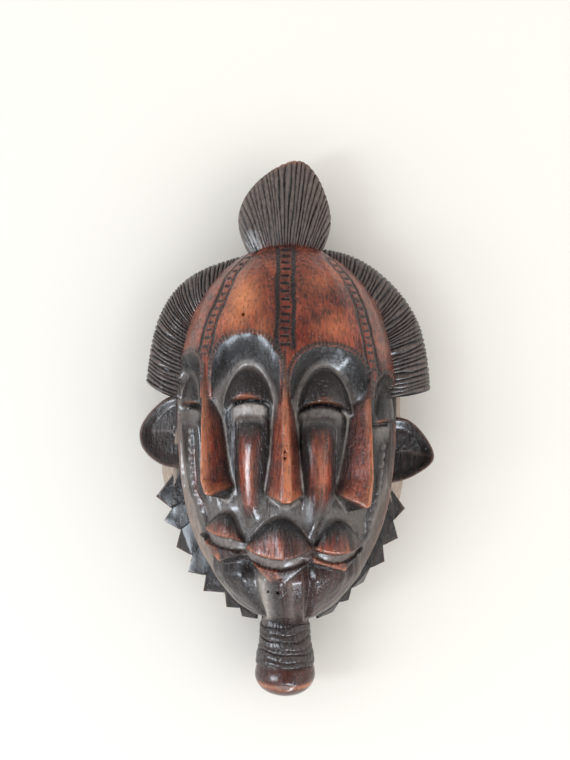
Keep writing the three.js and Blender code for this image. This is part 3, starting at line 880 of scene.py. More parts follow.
    def raise_noses(self) -> None:
        """Leave the three noses standing, red on their flanks, rubbed on their ridges and painted dark
        underneath as shade.
        """
        face, y = self.face, self.y
        noses, nose_red = np.zeros((2, *y.shape))
        for nose in NOSES:
            level, across, part, past_tip = nose.level(face)
            is_nose = ramp(-0.3, 0.8, level - self.ground)
            full_height = np.maximum(nose.rise * part + self.trough, 1.0)
            height = share((level - self.ground) / full_height)
            self.ground = rounded_max(self.ground, level, 0.7)
            over_tip = ramp(0.6, -0.4, past_tip)
            is_nose = is_nose * (y < nose.brow_y + 2.0)
            # Past the tip, on the underside of the nose, the red drops to a small share of itself: painted
            # shade under the nose.
            flank_red = is_nose * (0.22 + 0.66 * ramp(0.10, 0.75, height)) \
                * (0.12 + 0.88 * over_tip) * (0.92 + 1.2 * self.patchy)
            noses = np.maximum(noses, is_nose)
            nose_red = np.maximum(nose_red, flank_red)
            half = (nose.flat_top + (nose.flat_tip - nose.flat_top) * part) / 2.0
            flat = hill(np.maximum(0, np.abs(across - 0.3 * half) - 0.6 * half), 0.55)
            self.add_wear(is_nose * ramp(-0.05, 0.5, part) * flat * (0.18 + 0.44 * part) * over_tip)
            tip_edge = hill(past_tip + 0.9, 1.0) * hill(across, 6.0)
            self.add_wear(is_nose * tip_edge * 0.5)
        self.red = self.red * (1.0 - noses) + nose_red * noses
        self.dust = self.dust * (1.0 - 0.85 * noses) + 0.02 * noses

    def carve_mouths(self) -> None:
        """Carve the chin with its jaws, and the three mouths above it."""
        face, y = self.face, self.y
        chin = Chin()
        chin_level, chin_across = chin.level(face)
        ground = np.where(y < -78.0, self.ground + chin_level, self.ground)
        lips, lip_red_with_shade, lip_worn, lip_dust = self.lips()
        here = ramp(-0.2, 0.7, lips - ground)
        self.ground = rounded_max(ground, lips, 0.5)
        on_jaw = ramp(-84, -92, y)
        jaw_red = 0.03 + 0.14 * ramp(0.40, 0.52, chin_across)
        red = np.where(y < -84.0, self.red * (1.0 - on_jaw) + jaw_red * on_jaw, self.red)
        self.red = red * (1.0 - here) + lip_red_with_shade * here
        self.worn = np.maximum(self.worn * (1.0 - here), lip_worn * here)
        self.dust = np.maximum(self.dust * (1.0 - here), lip_dust)
        self.lips_here = here
        # Pale strips down the chin: partly dust, partly painted sheen.
        chin_dust_and_sheen = np.zeros(y.shape)
        for (place, reach), amount in zip(chin.dust_and_sheen_strips, chin.strip_dust_and_sheen):
            chin_dust_and_sheen = np.maximum(chin_dust_and_sheen, amount * hill((chin_across - place) / reach, 1.0))
        self.add_dust_and_sheen(chin_dust_and_sheen * ramp(-86, -98, y) * ramp(-131, -122, y))

    def lips(self) -> tuple[Values, Values, Values, Values]:
        """Carve the three mouths.

        Returns:
            The heights of the lips, and their red coat with its painted shade, their worn coat and their dust
            coat.
        """
        face, y = self.face, self.y
        level = np.full(y.shape, FAR_BELOW)
        red, worn, dust = np.zeros((3, *y.shape))
        for mouth in MOUTHS:
            middle = face.spot(mouth.middle_x, mouth.edge_y, 4.0)
            left = middle - face.spot(*mouth.left, -3.0)
            right = face.spot(*mouth.right, -3.0) - middle
            across = face.arc - middle
            half = np.where(across < 0, left, right)
            along = across / half
            off_middle = np.abs(along)
            corner_y = np.where(across < 0, mouth.left[1], mouth.right[1])
            edge = mouth.edge_y + (corner_y - mouth.edge_y) * np.clip(off_middle, 0.0, 1.2) ** 1.7

            ridge = (face.arc - face.spot(mouth.ridge_x, mouth.edge_y, 5.0)) / half
            slope = share(off_middle)
            top = mouth.peak_y - (mouth.peak_y - corner_y) * slope ** mouth.top_power
            above = (y - edge) / np.maximum(top - edge, 0.6)
            tent = share(np.abs(ridge))
            swell = 1.0 - 0.30 * tent - 0.34 * slope ** 5.0
            facing = share(above)
            upper = mouth.ground + mouth.rise * swell * (1.0 - 0.62 * facing - 0.30 * facing ** 8)
            lip_foot = mouth.ground + 1.0
            upper = lip_foot + (upper - lip_foot) * ramp(-0.9, 0.7, y - edge)
            upper = np.where((y >= edge - 0.9) & (np.maximum(off_middle, above) < 1.0), upper, FAR_BELOW)

            gap_y = edge - mouth.ledge_height * (1.0 - 0.16 * np.clip(off_middle, 0.0, 1.1) ** 2)
            part = (edge - y) / np.maximum(edge - gap_y, 0.5)
            in_gap = (y < edge) & (y >= gap_y) & (off_middle < 1.12)
            shelf = ramp(0.04, 0.22, part) * ramp(0.98, 0.78, part)
            ledge_rise = 0.50 * mouth.rise * (1.0 - share(off_middle / 1.12) ** 2.4)
            ledge = np.where(in_gap, mouth.ground + ledge_rise * (0.84 + 0.16 * shelf), FAR_BELOW)

            tip_x, tip_y = mouth.lower_tip
            tip = face.spot(tip_x, tip_y, mouth.lower_rise)
            low_left, low_right = face.spot(*mouth.lower_left), face.spot(*mouth.lower_right)
            out = face.arc - tip
            out_part = np.abs(out) / np.where(out < 0, tip - low_left, low_right - tip)
            side_y = np.where(out < 0, mouth.lower_left[1], mouth.lower_right[1])
            cut_y = tip_y + (side_y - tip_y) * np.clip(out_part, 0.0, 1.3)
            lower = mouth.lower_rise * (1.0 - 0.75 * out_part ** 1.2) \
                - 2.2 * np.maximum(0, cut_y - y) - 1.6 * np.maximum(0, out_part - 1.0)
            lower = lower - 0.10 * np.maximum(0, y - cut_y)
            lower = np.where(y < gap_y, lower, FAR_BELOW)
            level = np.maximum(level, np.maximum(upper, np.maximum(ledge, lower)))

            on_upper = upper > PRESENT
            on_lower = (lower > PRESENT) & (out_part < 1.0) & (y > cut_y - 0.4)
            # The red stain lies on each upper lip's left facet; its right facet and its top are painted
            # darker, and the lower lip's right half too: painted shade on the sides turned away from the
            # light.
            red_with_side_shade = mouth.left_red + (mouth.shaded_right_red - mouth.left_red) * ramp(-0.6, 0.9, ridge * left)
            lip_red_with_shade = red_with_side_shade * ramp(0.80, 0.25, above)
            low_red_with_shade = np.where(out < 0, 0.62 * mouth.left_red, 0.30 * mouth.shaded_right_red)
            red = np.where(on_upper, lip_red_with_shade, np.where(on_lower, low_red_with_shade, red))
            ridge_line = hill(ridge * left, 0.7) * ramp(0.6, 0.1, above)
            edge_line = hill(y - edge - 0.6, 0.7) * ramp(0.9, 0.3, off_middle)
            worn = np.where(on_upper, np.maximum(0.26 * ridge_line, 0.42 * edge_line), worn)
            tip_line = hill(out, 1.5) * ramp(2, 6, gap_y - y)
            cut_line = np.maximum(0.80 * tip_line, 0.44 * hill(y - cut_y - 0.5, 0.8) * (out < 0))
            worn = np.where(on_lower, np.maximum(worn, cut_line), worn)
            dust = np.where(in_gap, 0.36 * shelf, dust)
            red = np.where(in_gap, 0.14, red)
        return level, red, worn, dust

    def bands(self) -> tuple[Values, Values]:
        """Cut the three plaited bands of the forehead, and mark where their grooves lie.

        Returns:
            How far the bands sink or rise, and where the dots of their dotted grooves are.
        """
        face, y = self.face, self.y
        sink, all_dots = np.zeros((2, *y.shape))
        for number, band in enumerate(BANDS):
            offset = face.arc - face.line(band.line)
            wander = 0.35 * np.sin(y / 5.0 + 2.0 * number) + 0.2 * np.sin(y / 1.9 + number)
            across = np.abs(offset + wander)
            length = ramp(band.bottom_y, band.bottom_y + 2.0, y) * ramp(121.5, 118.0, y)
            phase = (y + 0.5 * np.sin(y / 6.0 + number)) / band.pitch % 1.0
            rung = ramp(0.12, 0.24, phase) * ramp(0.90, 0.76, phase)
            ladder = ramp(band.half_ladder + 0.4, band.half_ladder - 0.3, across)
            beside = np.abs(across - band.groove_at)
            groove = ramp(band.groove_half + 0.3, band.groove_half * 0.5, beside) * length
            dot_phase = y / (band.pitch * 0.46) + across / 2.1 + 0.6 * wander
            dots = 0.5 + 0.5 * np.cos(2.0 * math.pi * dot_phase)
            between = ladder * (1.0 - rung) * length
            lobe = 1.0 - ramp(0.0, band.swell_reach, np.abs(offset))
            sink -= band.swell * lobe * ramp(band.bottom_y, band.bottom_y + 34.0, y) * ramp(124, 108, y)
            sink -= band.sink * (groove * (1.2 - 0.8 * dots) + between)
            sink += 0.25 * (rung * ladder * length)
            self.band_grooves = np.maximum(self.band_grooves, np.maximum(groove, between))
            all_dots = np.maximum(all_dots, groove * ramp(0.75, 1.0, dots))
        return sink, all_dots

    def cut_forehead(self) -> None:
        """Cut the plaited bands and the dotted rims of the sockets, and rub the forehead between them."""
        face, y = self.face, self.y
        band_sink, band_dots = self.bands()
        self.ground = self.ground + band_sink * (1.0 - self.sunk)
        self.ground = self.ground + self.rims * (self.rim_groove[0] * self.beads - self.rim_groove[1])
        crown_arc, crown_reach = self.shaded_crown
        shade = hill((face.arc - crown_arc) / crown_reach, 1.0) * ramp(84, 112, y)
        plain = 1.0 - self.band_grooves
        self.red = self.red * (1.0 - 0.96 * self.band_grooves) * (1.0 - 0.85 * self.rims) \
            * (1.0 - 0.50 * shade)
        self.add_dust_and_sheen(0.12 * self.band_grooves * band_dots)
        self.add_dust_and_sheen(0.10 * self.rims * self.beads)
        self.add_wear(self.lid_worn)
        for patch_x, patch_y, reach_x, reach_y, amount in self.worn_patches:
            sideways = (face.arc - face.spot(patch_x, patch_y)) / reach_x
            rubbed = hill(np.hypot(sideways, (y - patch_y) / reach_y), 1.0)
            self.add_wear(amount * rubbed * plain * (1.0 - share(self.brow_shade)))

    def work_surface(self) -> Values:
        """Drill the small holes, raise the face's rim, and leave the marks of the tools.

        Returns:
            How strongly each place belongs to the rim along the edge of the face, from 0 to 1.
        """
        face, y = self.face, self.y
        ground = blurred(self.ground, 0.8, 0.8)
        for hole_x, hole_y, radius in self.holes:
            hole = np.hypot(face.arc - face.spot(hole_x, hole_y), y - hole_y)
            ground = ground - self.hole_depth * ramp(radius * 1.4, radius * 0.5, hole)
        seen_inset = face.dome.width(face.y) - np.abs(face.x)
        low_down = ramp(0, -70, y)
        below_brows = ramp(50, 20, y)
        width = np.where(face.arc > 0.0, 3.4 + 2.0 * low_down, 1.4 + 1.4 * low_down)
        rim = ramp(width + 0.5, width - 0.5, seen_inset) * below_brows * ramp(-130, -122, y)
        ground = ground + self.rim_rise * hill(seen_inset - 0.6 * width, 0.45 * width + 0.4) * below_brows
        shape = y.shape
        marks = 0.16 * tooled(shape, 7.0, 4.0, self.seed) + 0.22 * tooled(shape, 18.0, 9.0, self.seed + 1)
        self.ground = ground + marks * ramp(2, 10, face.edge_gap)
        return rim

    def weather(self, rim: Values) -> None:
        """Rub the stain on what stands out, leave dust in what is hollow, and pale the temples with the dust
        colour as painted sheen.

        Args:
            rim: How strongly each place belongs to the rim along the edge of the face.
        """
        face, y, ground = self.face, self.y, self.ground
        fine = ground - blurred(ground, 1.6 / 0.57, 1.6 / 0.5)
        self.add_wear(0.30 * ramp(0.35, 1.0, fine) * ramp(0.2, 0.7, self.red))
        self.worn = self.worn * (1.0 - rim * ramp(60, 20, y))
        hollow_dust = 0.66 * ramp(-0.45, -1.3, fine) * (1.0 - 0.8 * ramp(-44, -54, y)) + 0.025 * self.sunk
        steep = np.abs(np.gradient(ground, axis=1)) / np.maximum(np.gradient(face.arc, axis=1), 1e-3)
        hollow_dust = hollow_dust * ramp(2.4, 1.0, steep)
        turned = np.abs(face.angle)
        hollow_dust = hollow_dust * (1.0 - self.slits) * (1.0 - 0.75 * self.lips_here) \
            * (1.0 - 0.8 * ramp(46, 54, turned) * (face.arc > 0.0))
        self.add_dust_and_sheen(hollow_dust * ramp(50, 20, y) * ramp(-92, -78, y))
        under_noses = ramp(-36, -46, y) * ramp(-74, -62, y) * ramp(-3.5, -6.0, ground)
        self.add_dust_and_sheen(0.24 * under_noses)
        # Painted sheen: the temples, where the forehead turns to the sides, are paled with the dust colour.
        temple_sheen = ramp(50, 62, turned) * ramp(36, 56, y) * (1.0 - self.band_grooves)
        self.add_dust_and_sheen(0.20 * temple_sheen)

    def build(self) -> Part:
        """Carve the head and close it behind.

        Returns:
            The head as a part.
        """
        face = self.face
        shape, column, row = globe(face.columns + face.rear_columns, face.rows)
        coats = self.carve()
        fade = ramp(self.edge_fade[0], self.edge_fade[1], np.abs(face.angle)) \
            * ramp(face.dome.chin_y, face.dome.chin_y + self.chin_fade, face.y) \
            * ramp(face.dome.top_y, face.dome.top_y - self.top_fade, face.y)
        level = self.ground * fade
        front = column <= face.columns
        near = np.minimum(column, face.columns)
        y = face.y[row, 0]
        rear_turn = (column - face.columns) / face.rear_columns * math.pi
        width = face.dome.width(y)
        rear_depth = self.rear_sink * face.dome.depth(y)
        x = np.where(front, face.x[row, near] + level[row, near] * face.out_x[row, near],
                     width * np.cos(rear_turn))
        z = np.where(front, face.z[row, near] + level[row, near] * face.out_z[row, near],
                     face.dome.edge_z - rear_depth * np.sin(rear_turn))
        points = np.stack([x, y, z], axis=1)
        move_points(shape, points)
        painted = {coat: values[row, near] for coat, values in coats.items()}
        return Part("head", shape, points, painted)


@dataclass
class Block:
    """The block behind the head, with its flat rear rim, left as bare wood."""

    outline: Points = (
        (28, 118), (0, 121), (-28, 117), (-56, 101), (-74, 74), (-81, 45),
        (-82, 18), (-86.5, -10), (-88, -30), (-85, -44), (-78.5, -60), (-71.5, -77),
        (-64, -93), (-54.5, -107), (-42, -120), (-24, -130), (0, -134), (22, -129.5), (36, -119),
        (45.5, -108), (57, -96.5), (65, -81), (72, -64), (79, -52), (81.5, -40),
        (81.5, -15), (79, 12), (80, 45), (74, 76), (56, 103))
    middle: Pair = (0.0, -8.0)
    softness: float = 5.0
    sides: int = 240
    heights: tuple[float, ...] = (29.0, 25.0, 20.0, 14.0, 8.0, 1.2, 0.0)
    insets: tuple[float, ...] = (10.0, 8.0, 5.0, 1.5, 0.0, 0.0, 1.2)

    def build(self) -> Part:
        """Raise the block ring by ring from its rear rim.

        Returns:
            The block as a part.
        """
        rings = len(self.heights)
        shape, column, row = globe(self.sides, rings + 1)
        ring = np.clip(row - 1, 0, rings - 1)
        places = even_line(self.outline, self.sides, self.softness, closed=True)[column]
        places = places + unit(np.array(self.middle) - places) * np.array(self.insets)[ring][:, None]
        places[(row == 0) | (row == rings + 1)] = self.middle
        z = np.array(self.heights)[ring]
        return closed_part("block", shape, np.column_stack([places, z]), bare=1.0,
                           dust=ramp(12, 26, z) * 0.3)


@dataclass
class Border:
    """The border of wedge-shaped teeth along one side, from below an ear to the beard."""

    name: str
    tips: Points
    valleys: Points
    root_depth: float = 19.0
    base_part: float = 0.6
    steps_per_tooth: int = 14
    section_steps: int = 40
    root_z: float = 33.0
    base_z: float = 29.5
    tip_z: float = 25.0
    root_rear_z: float = 6.0
    tip_rear_z: float = 14.0
    unevenness: float = 1.8
    mark_depth: float = 0.16
    tooth_tilt: float = 2.2
    root_flare: float = 0.82
    root_aim_y: float = -25.0
    seed: int = 21

    def build(self) -> Part:
        """Cut the border tooth by tooth.

        Returns:
            The border as a part.
        """
        count = len(self.tips)
        rows = count * self.steps_per_tooth
        shape, column, row = globe(self.section_steps, rows + 2)
        station = share((row - 1) / rows) * count
        corners = np.empty((2 * count + 1, 2))
        corners[0::2], corners[1::2] = self.valleys, self.tips
        edge = places_at(corners, station * 2.0)
        base = places_at(self.valleys, station)
        inwards = np.stack([-base[:, 0] * self.root_flare, self.root_aim_y - base[:, 1]], axis=1)
        root = base + unit(inwards) * self.root_depth
        on_tooth = 1.0 - np.abs(station % 1.0 - 0.5) * 2.0
        on_tooth = np.where(station >= count, 0.0, on_tooth)

        around = column / self.section_steps
        is_front = around <= 0.5
        out = np.where(is_front, 1.0 - 2.0 * around, 2.0 * around - 1.0)
        to_base = share(out / self.base_part)[:, None]
        to_edge = share((out - self.base_part) / (1.0 - self.base_part))[:, None]
        places = root + (base - root) * to_base + (edge - base) * to_edge
        uneven = np.random.default_rng(self.seed).normal(0.0, self.unevenness, count + 1)
        tip_z = self.tip_z + uneven[np.minimum(station.astype(int), count)]
        front_z = self.root_z + (self.base_z - self.root_z) * to_base[:, 0] \
            + (tip_z - self.base_z) * on_tooth * to_edge[:, 0]
        front_z = front_z + self.tooth_tilt * (station % 1.0 - 0.5) * to_base[:, 0] * (station < count)
        marks = tooled((rows + 3, self.section_steps), 3.0, 1.6, self.seed)[row, column]
        front_z = front_z + self.mark_depth * marks * ramp(1.0, 0.92, out)
        rear_z = self.root_rear_z + (self.tip_rear_z - self.root_rear_z) * out ** 2
        z = np.where(is_front, front_z, rear_z)
        ends = (row == 0) | (row == rows + 2)
        z = np.where(ends, 0.5 * (self.root_z + self.root_rear_z), z)
        places = np.where(ends[:, None], 0.5 * (base + root), places)
        tip_edge = ramp(0.90, 1.0, out) * is_front
        crease = hill((out - self.base_part) * 40.0, 2.2) * is_front * ramp(0.0, 0.3, on_tooth)
        worn = 0.12 * tip_edge + 0.03 * crease
        dust = 0.10 * ramp(0.35, 0.1, on_tooth) * ramp(0.5, 0.9, out) * is_front
        return closed_part(self.name, shape, np.column_stack([places, z]), red=0.01 + 0.03 * tip_edge,
                           worn=worn, dust=dust)


@dataclass
class Ear:
    """An ear: a flat plate with a dished face in two facets that meet in a crease."""

    name: str
    middle: Pair
    outline: Points
    crease_degrees: float
    front_z: float = 33.0
    rear_z: float = 19.0
    softness: float = 2.4
    rim_part: float = 0.93
    dish: float = 3.8
    crease_depth: float = 1.7
    facet_reach: float = 11.0
    edge_from: float = 0.95
    # How strongly the front of the ear is paled with the dust colour: painted sheen on the ear that faces the
    # window.
    window_side_sheen: float = 0.0
    columns: int = 150
    rows: int = 60
    seed: int = 61

    def build(self) -> Part:
        """Shape the ear from its outline.

        Returns:
            The ear as a part.
        """
        shape, column, row = globe(self.columns, self.rows)
        rim = even_line(self.outline, self.columns, self.softness, closed=True)[column]
        half = self.rows // 2
        is_front = row <= half
        part = np.where(is_front, row / half, (self.rows - row) / (self.rows - half)) ** 0.8
        middle = np.array(self.middle)
        places = middle + (rim - middle) * part[:, None]
        crease = math.radians(self.crease_degrees)
        off_crease = (places[:, 0] - self.middle[0]) * math.sin(crease) \
            - (places[:, 1] - self.middle[1]) * math.cos(crease)
        inside = ramp(self.rim_part + 0.04, self.rim_part - 0.34, part)
        to_crease = share(1.0 - np.abs(off_crease) / self.facet_reach)
        facet = self.dish * inside + self.crease_depth * inside * to_crease
        marks = tooled((self.rows + 1, self.columns), 3.0, 4.0, self.seed)[row, column]
        facet = facet + 0.12 * marks * inside
        round_off = 2.0 * share((part - self.edge_from) / 0.05) ** 2
        z = np.where(is_front, self.front_z - facet - round_off, self.rear_z + round_off)
        edge = is_front * ramp(self.rim_part - 0.05, self.rim_part + 0.02, part)
        worn = 0.10 * edge * ramp(1.02, 0.95, part) + 0.05 * is_front * hill(off_crease, 0.7) * inside
        dust = 0.14 * is_front * hill(off_crease, 1.0) * inside
        return closed_part(self.name, shape, np.column_stack([places, z]), red=0.10 + 0.12 * edge, worn=worn,
                           dust=dust + self.window_side_sheen * is_front, crest=0.6 * is_front)


@dataclass
class Roll:
    """A combed roll of hair behind one temple."""

    name: str
    outline: Points
    sweep_degrees: float
    groove_count: int = 50
    half_breadth: float = 20.0
    slide_reach: float = 17.0
    centre_z: float = 27.0
    half_height: float = 16.0
    steps_per_groove: int = 8
    sides: int = 44
    end_size: float = 0.93
    groove_depth: float = 1.1
    groove_wander: float = 0.20
    groove_depths: Pair = (0.6, 1.3)
    softness: float = 9.0
    inner_point: Pair = (0.0, 15.0)
    seed: int = 31

    def build(self) -> Part:
        """Bend the roll along its outline and comb it across.

        Returns:
            The roll as a part.
        """
        rows = self.groove_count * self.steps_per_groove
        shape, column, row = globe(self.sides, rows + 4)
        along = share((row - 2) / rows)
        size = np.where((row == 1) | (row == rows + 3), self.end_size, 1.0) \
            * np.where((row == 0) | (row == rows + 4), 0.0, 1.0)
        turn = column / self.sides * 2.0 * math.pi
        out = np.sign(np.cos(turn)) * np.abs(np.cos(turn)) ** 0.85
        up = np.sign(np.sin(turn)) * np.abs(np.sin(turn)) ** 0.90
        station = along * self.groove_count
        phase, depth_each = uneven_comb(station, self.groove_count, 3, self.groove_wander, self.groove_depths,
                                        self.seed)
        phase = phase + 0.16 * np.sin(2.2 * out + 0.9 * station) + 0.10 * np.sin(5.0 * out + 2.3 * station)
        groove = 1.0 - np.abs(np.sin(math.pi * phase)) ** 0.55
        scratch = 0.20 * (1.0 - np.abs(np.sin(2.0 * math.pi * phase + 0.9)) ** 0.6)
        depth = groove_depth(self.groove_depth * (groove + scratch), phase, depth_each)
        is_front = up > -0.35
        depth = np.where(is_front & (size > 0.5), depth, 0.35 * depth * (size > 0.5))
        line = even_line(self.outline, rows + 1, self.softness)
        heading = unit(np.gradient(line, axis=0))
        station = np.clip(row - 2, 0, rows)
        heading, rim = heading[station], line[station]
        inwards = np.stack([-heading[:, 1], heading[:, 0]], axis=1)
        inwards *= np.sign(np.sum(inwards * (np.array(self.inner_point) - rim), axis=1))[:, None]
        inset = (1.0 - out * size) * self.half_breadth + depth * np.maximum(out, 0.0)
        sweep = math.tan(math.radians(self.sweep_degrees))
        slide = self.slide_reach * np.tanh(inset / self.slide_reach) * sweep
        places = rim + inwards * inset[:, None] + heading * slide[:, None]
        z = self.centre_z + up * self.half_height * size - depth * np.sign(up) * np.abs(up)
        ridge = 1.0 - groove
        dust = 0.16 * ramp(0.6, 0.95, ridge) * (0.3 + 0.7 * share(up))
        red = 0.03 + 0.06 * ramp(0.4, 0.0, ridge)
        return closed_part(self.name, shape, np.column_stack([places, z]), crest=crest_on(ridge),
                           worn=0.08 * ramp(0.8, 1.0, ridge), dust=dust, red=red)


@dataclass
class Leaf:
    """The combed leaf of hair that stands on the crown."""

    fan_y: float = 76.0
    fan_degrees: float = 36.0
    root_radius: float = 20.0
    top_y: float = 179.9
    widest_y: float = 140.0
    half_width: float = 31.3
    root_narrowing: float = 5.6
    root_step: float = 20.0
    lean_x: float = -1.6
    middle_z: float = 30.0
    middle_half_thickness: float = 19.0
    edge_half_thickness: float = 5.0
    groove_count: int = 35
    groove_depth: float = 1.0
    groove_wander: float = 0.22
    groove_depths: Pair = (0.45, 1.3)
    least_reach: float = 40.0
    reach_halvings: int = 26
    columns: int = 360
    rows: int = 70
    tip_round: Pair = (1.7, 0.62)
    tip_bend: float = 2.4
    seed: int = 41

    def half_width_at(self, y: Values) -> Values:
        """Give half the width of the leaf at each height."""
        low = self.half_width - self.root_narrowing * ((self.widest_y - y) / self.root_step) ** 2
        part = share((y - self.widest_y) / (HALF_LENGTH - self.widest_y))
        high = self.half_width * (1.0 - part ** self.tip_round[0]) ** self.tip_round[1]
        return np.where(y < self.widest_y, low, high)

    def middle_at(self, y: Values) -> Values:
        """Give how far the middle of the leaf lies to the right at each height."""
        part = share((y - self.widest_y) / (HALF_LENGTH - self.widest_y))
        return self.lean_x + (HAIR_TIP_X - self.lean_x) * part ** self.tip_bend

    def reach(self, direction: Values) -> Values:
        """Find the distance from the fan's centre to the leaf's edge.

        Args:
            direction: The directions from the centre, in radians from straight up.

        Returns:
            The distance along each direction.
        """
        inside = np.full(direction.shape, self.least_reach)
        outside = np.full(direction.shape, self.top_y)
        for _ in range(self.reach_halvings):
            radius = (inside + outside) / 2.0
            y = self.fan_y + radius * np.cos(direction)
            offset = np.abs(self.lean_x + radius * np.sin(direction) - self.middle_at(y))
            is_inside = (y < self.top_y) & (offset < self.half_width_at(y))
            inside = np.where(is_inside, radius, inside)
            outside = np.where(is_inside, outside, radius)
        return inside

    def build(self) -> Part:
        """Bridge a combed front and a plain back, and bend them to the leaf's outline.

        Returns:
            The leaf as a part.
        """
        shape = bmesh.new()
        for height in (1.0, -1.0):
            bmesh.ops.create_grid(shape, x_segments=self.columns, y_segments=self.rows, size=1.0,
                                  matrix=Matrix.Translation((0.0, 0.0, height)))
        rim = [edge for edge in shape.edges if edge.is_boundary]
        bmesh.ops.bridge_loops(shape, edges=rim)
        places = points_of(shape)
        across, part, layer = places[:, 0], (places[:, 1] + 1.0) / 2.0, places[:, 2]
        station = (across + 1.0) / 2.0 * self.groove_count
        phase, depth_each = uneven_comb(station, self.groove_count, 2, self.groove_wander, self.groove_depths,
                                        self.seed)
        phase = phase + 0.16 * np.sin(5.0 * part + station) + 0.08 * np.sin(13.0 * part + 2.7 * station)
        groove = 1.0 - np.abs(np.sin(math.pi * phase)) ** 0.6
        depth = groove_depth(self.groove_depth * groove, phase, depth_each)
        depth = np.where(layer > 0, depth, depth * ramp(0.9, 1.0, part))
        depth = depth * (0.30 + 0.60 * ramp(-0.35, 0.10, across)) \
            * (0.85 + 0.3 * np.sin(7.0 * part + 1.9 * station))
        direction = across * math.radians(self.fan_degrees)
        reach = self.reach(direction)
        radius = self.root_radius + (reach - depth * 0.9 - self.root_radius) * part
        to_edge = np.maximum(np.abs(across) ** 3.0, part ** 4.0)
        thickness = self.middle_half_thickness \
            + (self.edge_half_thickness - self.middle_half_thickness) * to_edge - depth
        thickness = thickness + 0.9 * hill(across + 0.02, 0.05) * (layer > 0) * (1.0 - part ** 3)
        x = self.lean_x + radius * np.sin(direction)
        y = self.fan_y + radius * np.cos(direction)
        ridge = 1.0 - groove
        worn = 0.06 * ramp(0.6, 1.0, ridge) + 0.34 * ramp(0.965, 1.0, part) * hill(across - 0.05, 0.16)
        worn = worn + 0.04 * ramp(0.9, 1.0, part)
        dust = 0.20 * ramp(0.45, 0.95, ridge)
        red = 0.03 + 0.05 * ramp(0.4, 0.0, ridge) + 0.06 * ramp(0.8, 1.0, part)
        return closed_part("leaf", shape, np.stack([x, y, self.middle_z + layer * thickness], axis=1),
                           crest=crest_on(ridge), worn=worn, dust=dust, red=red)


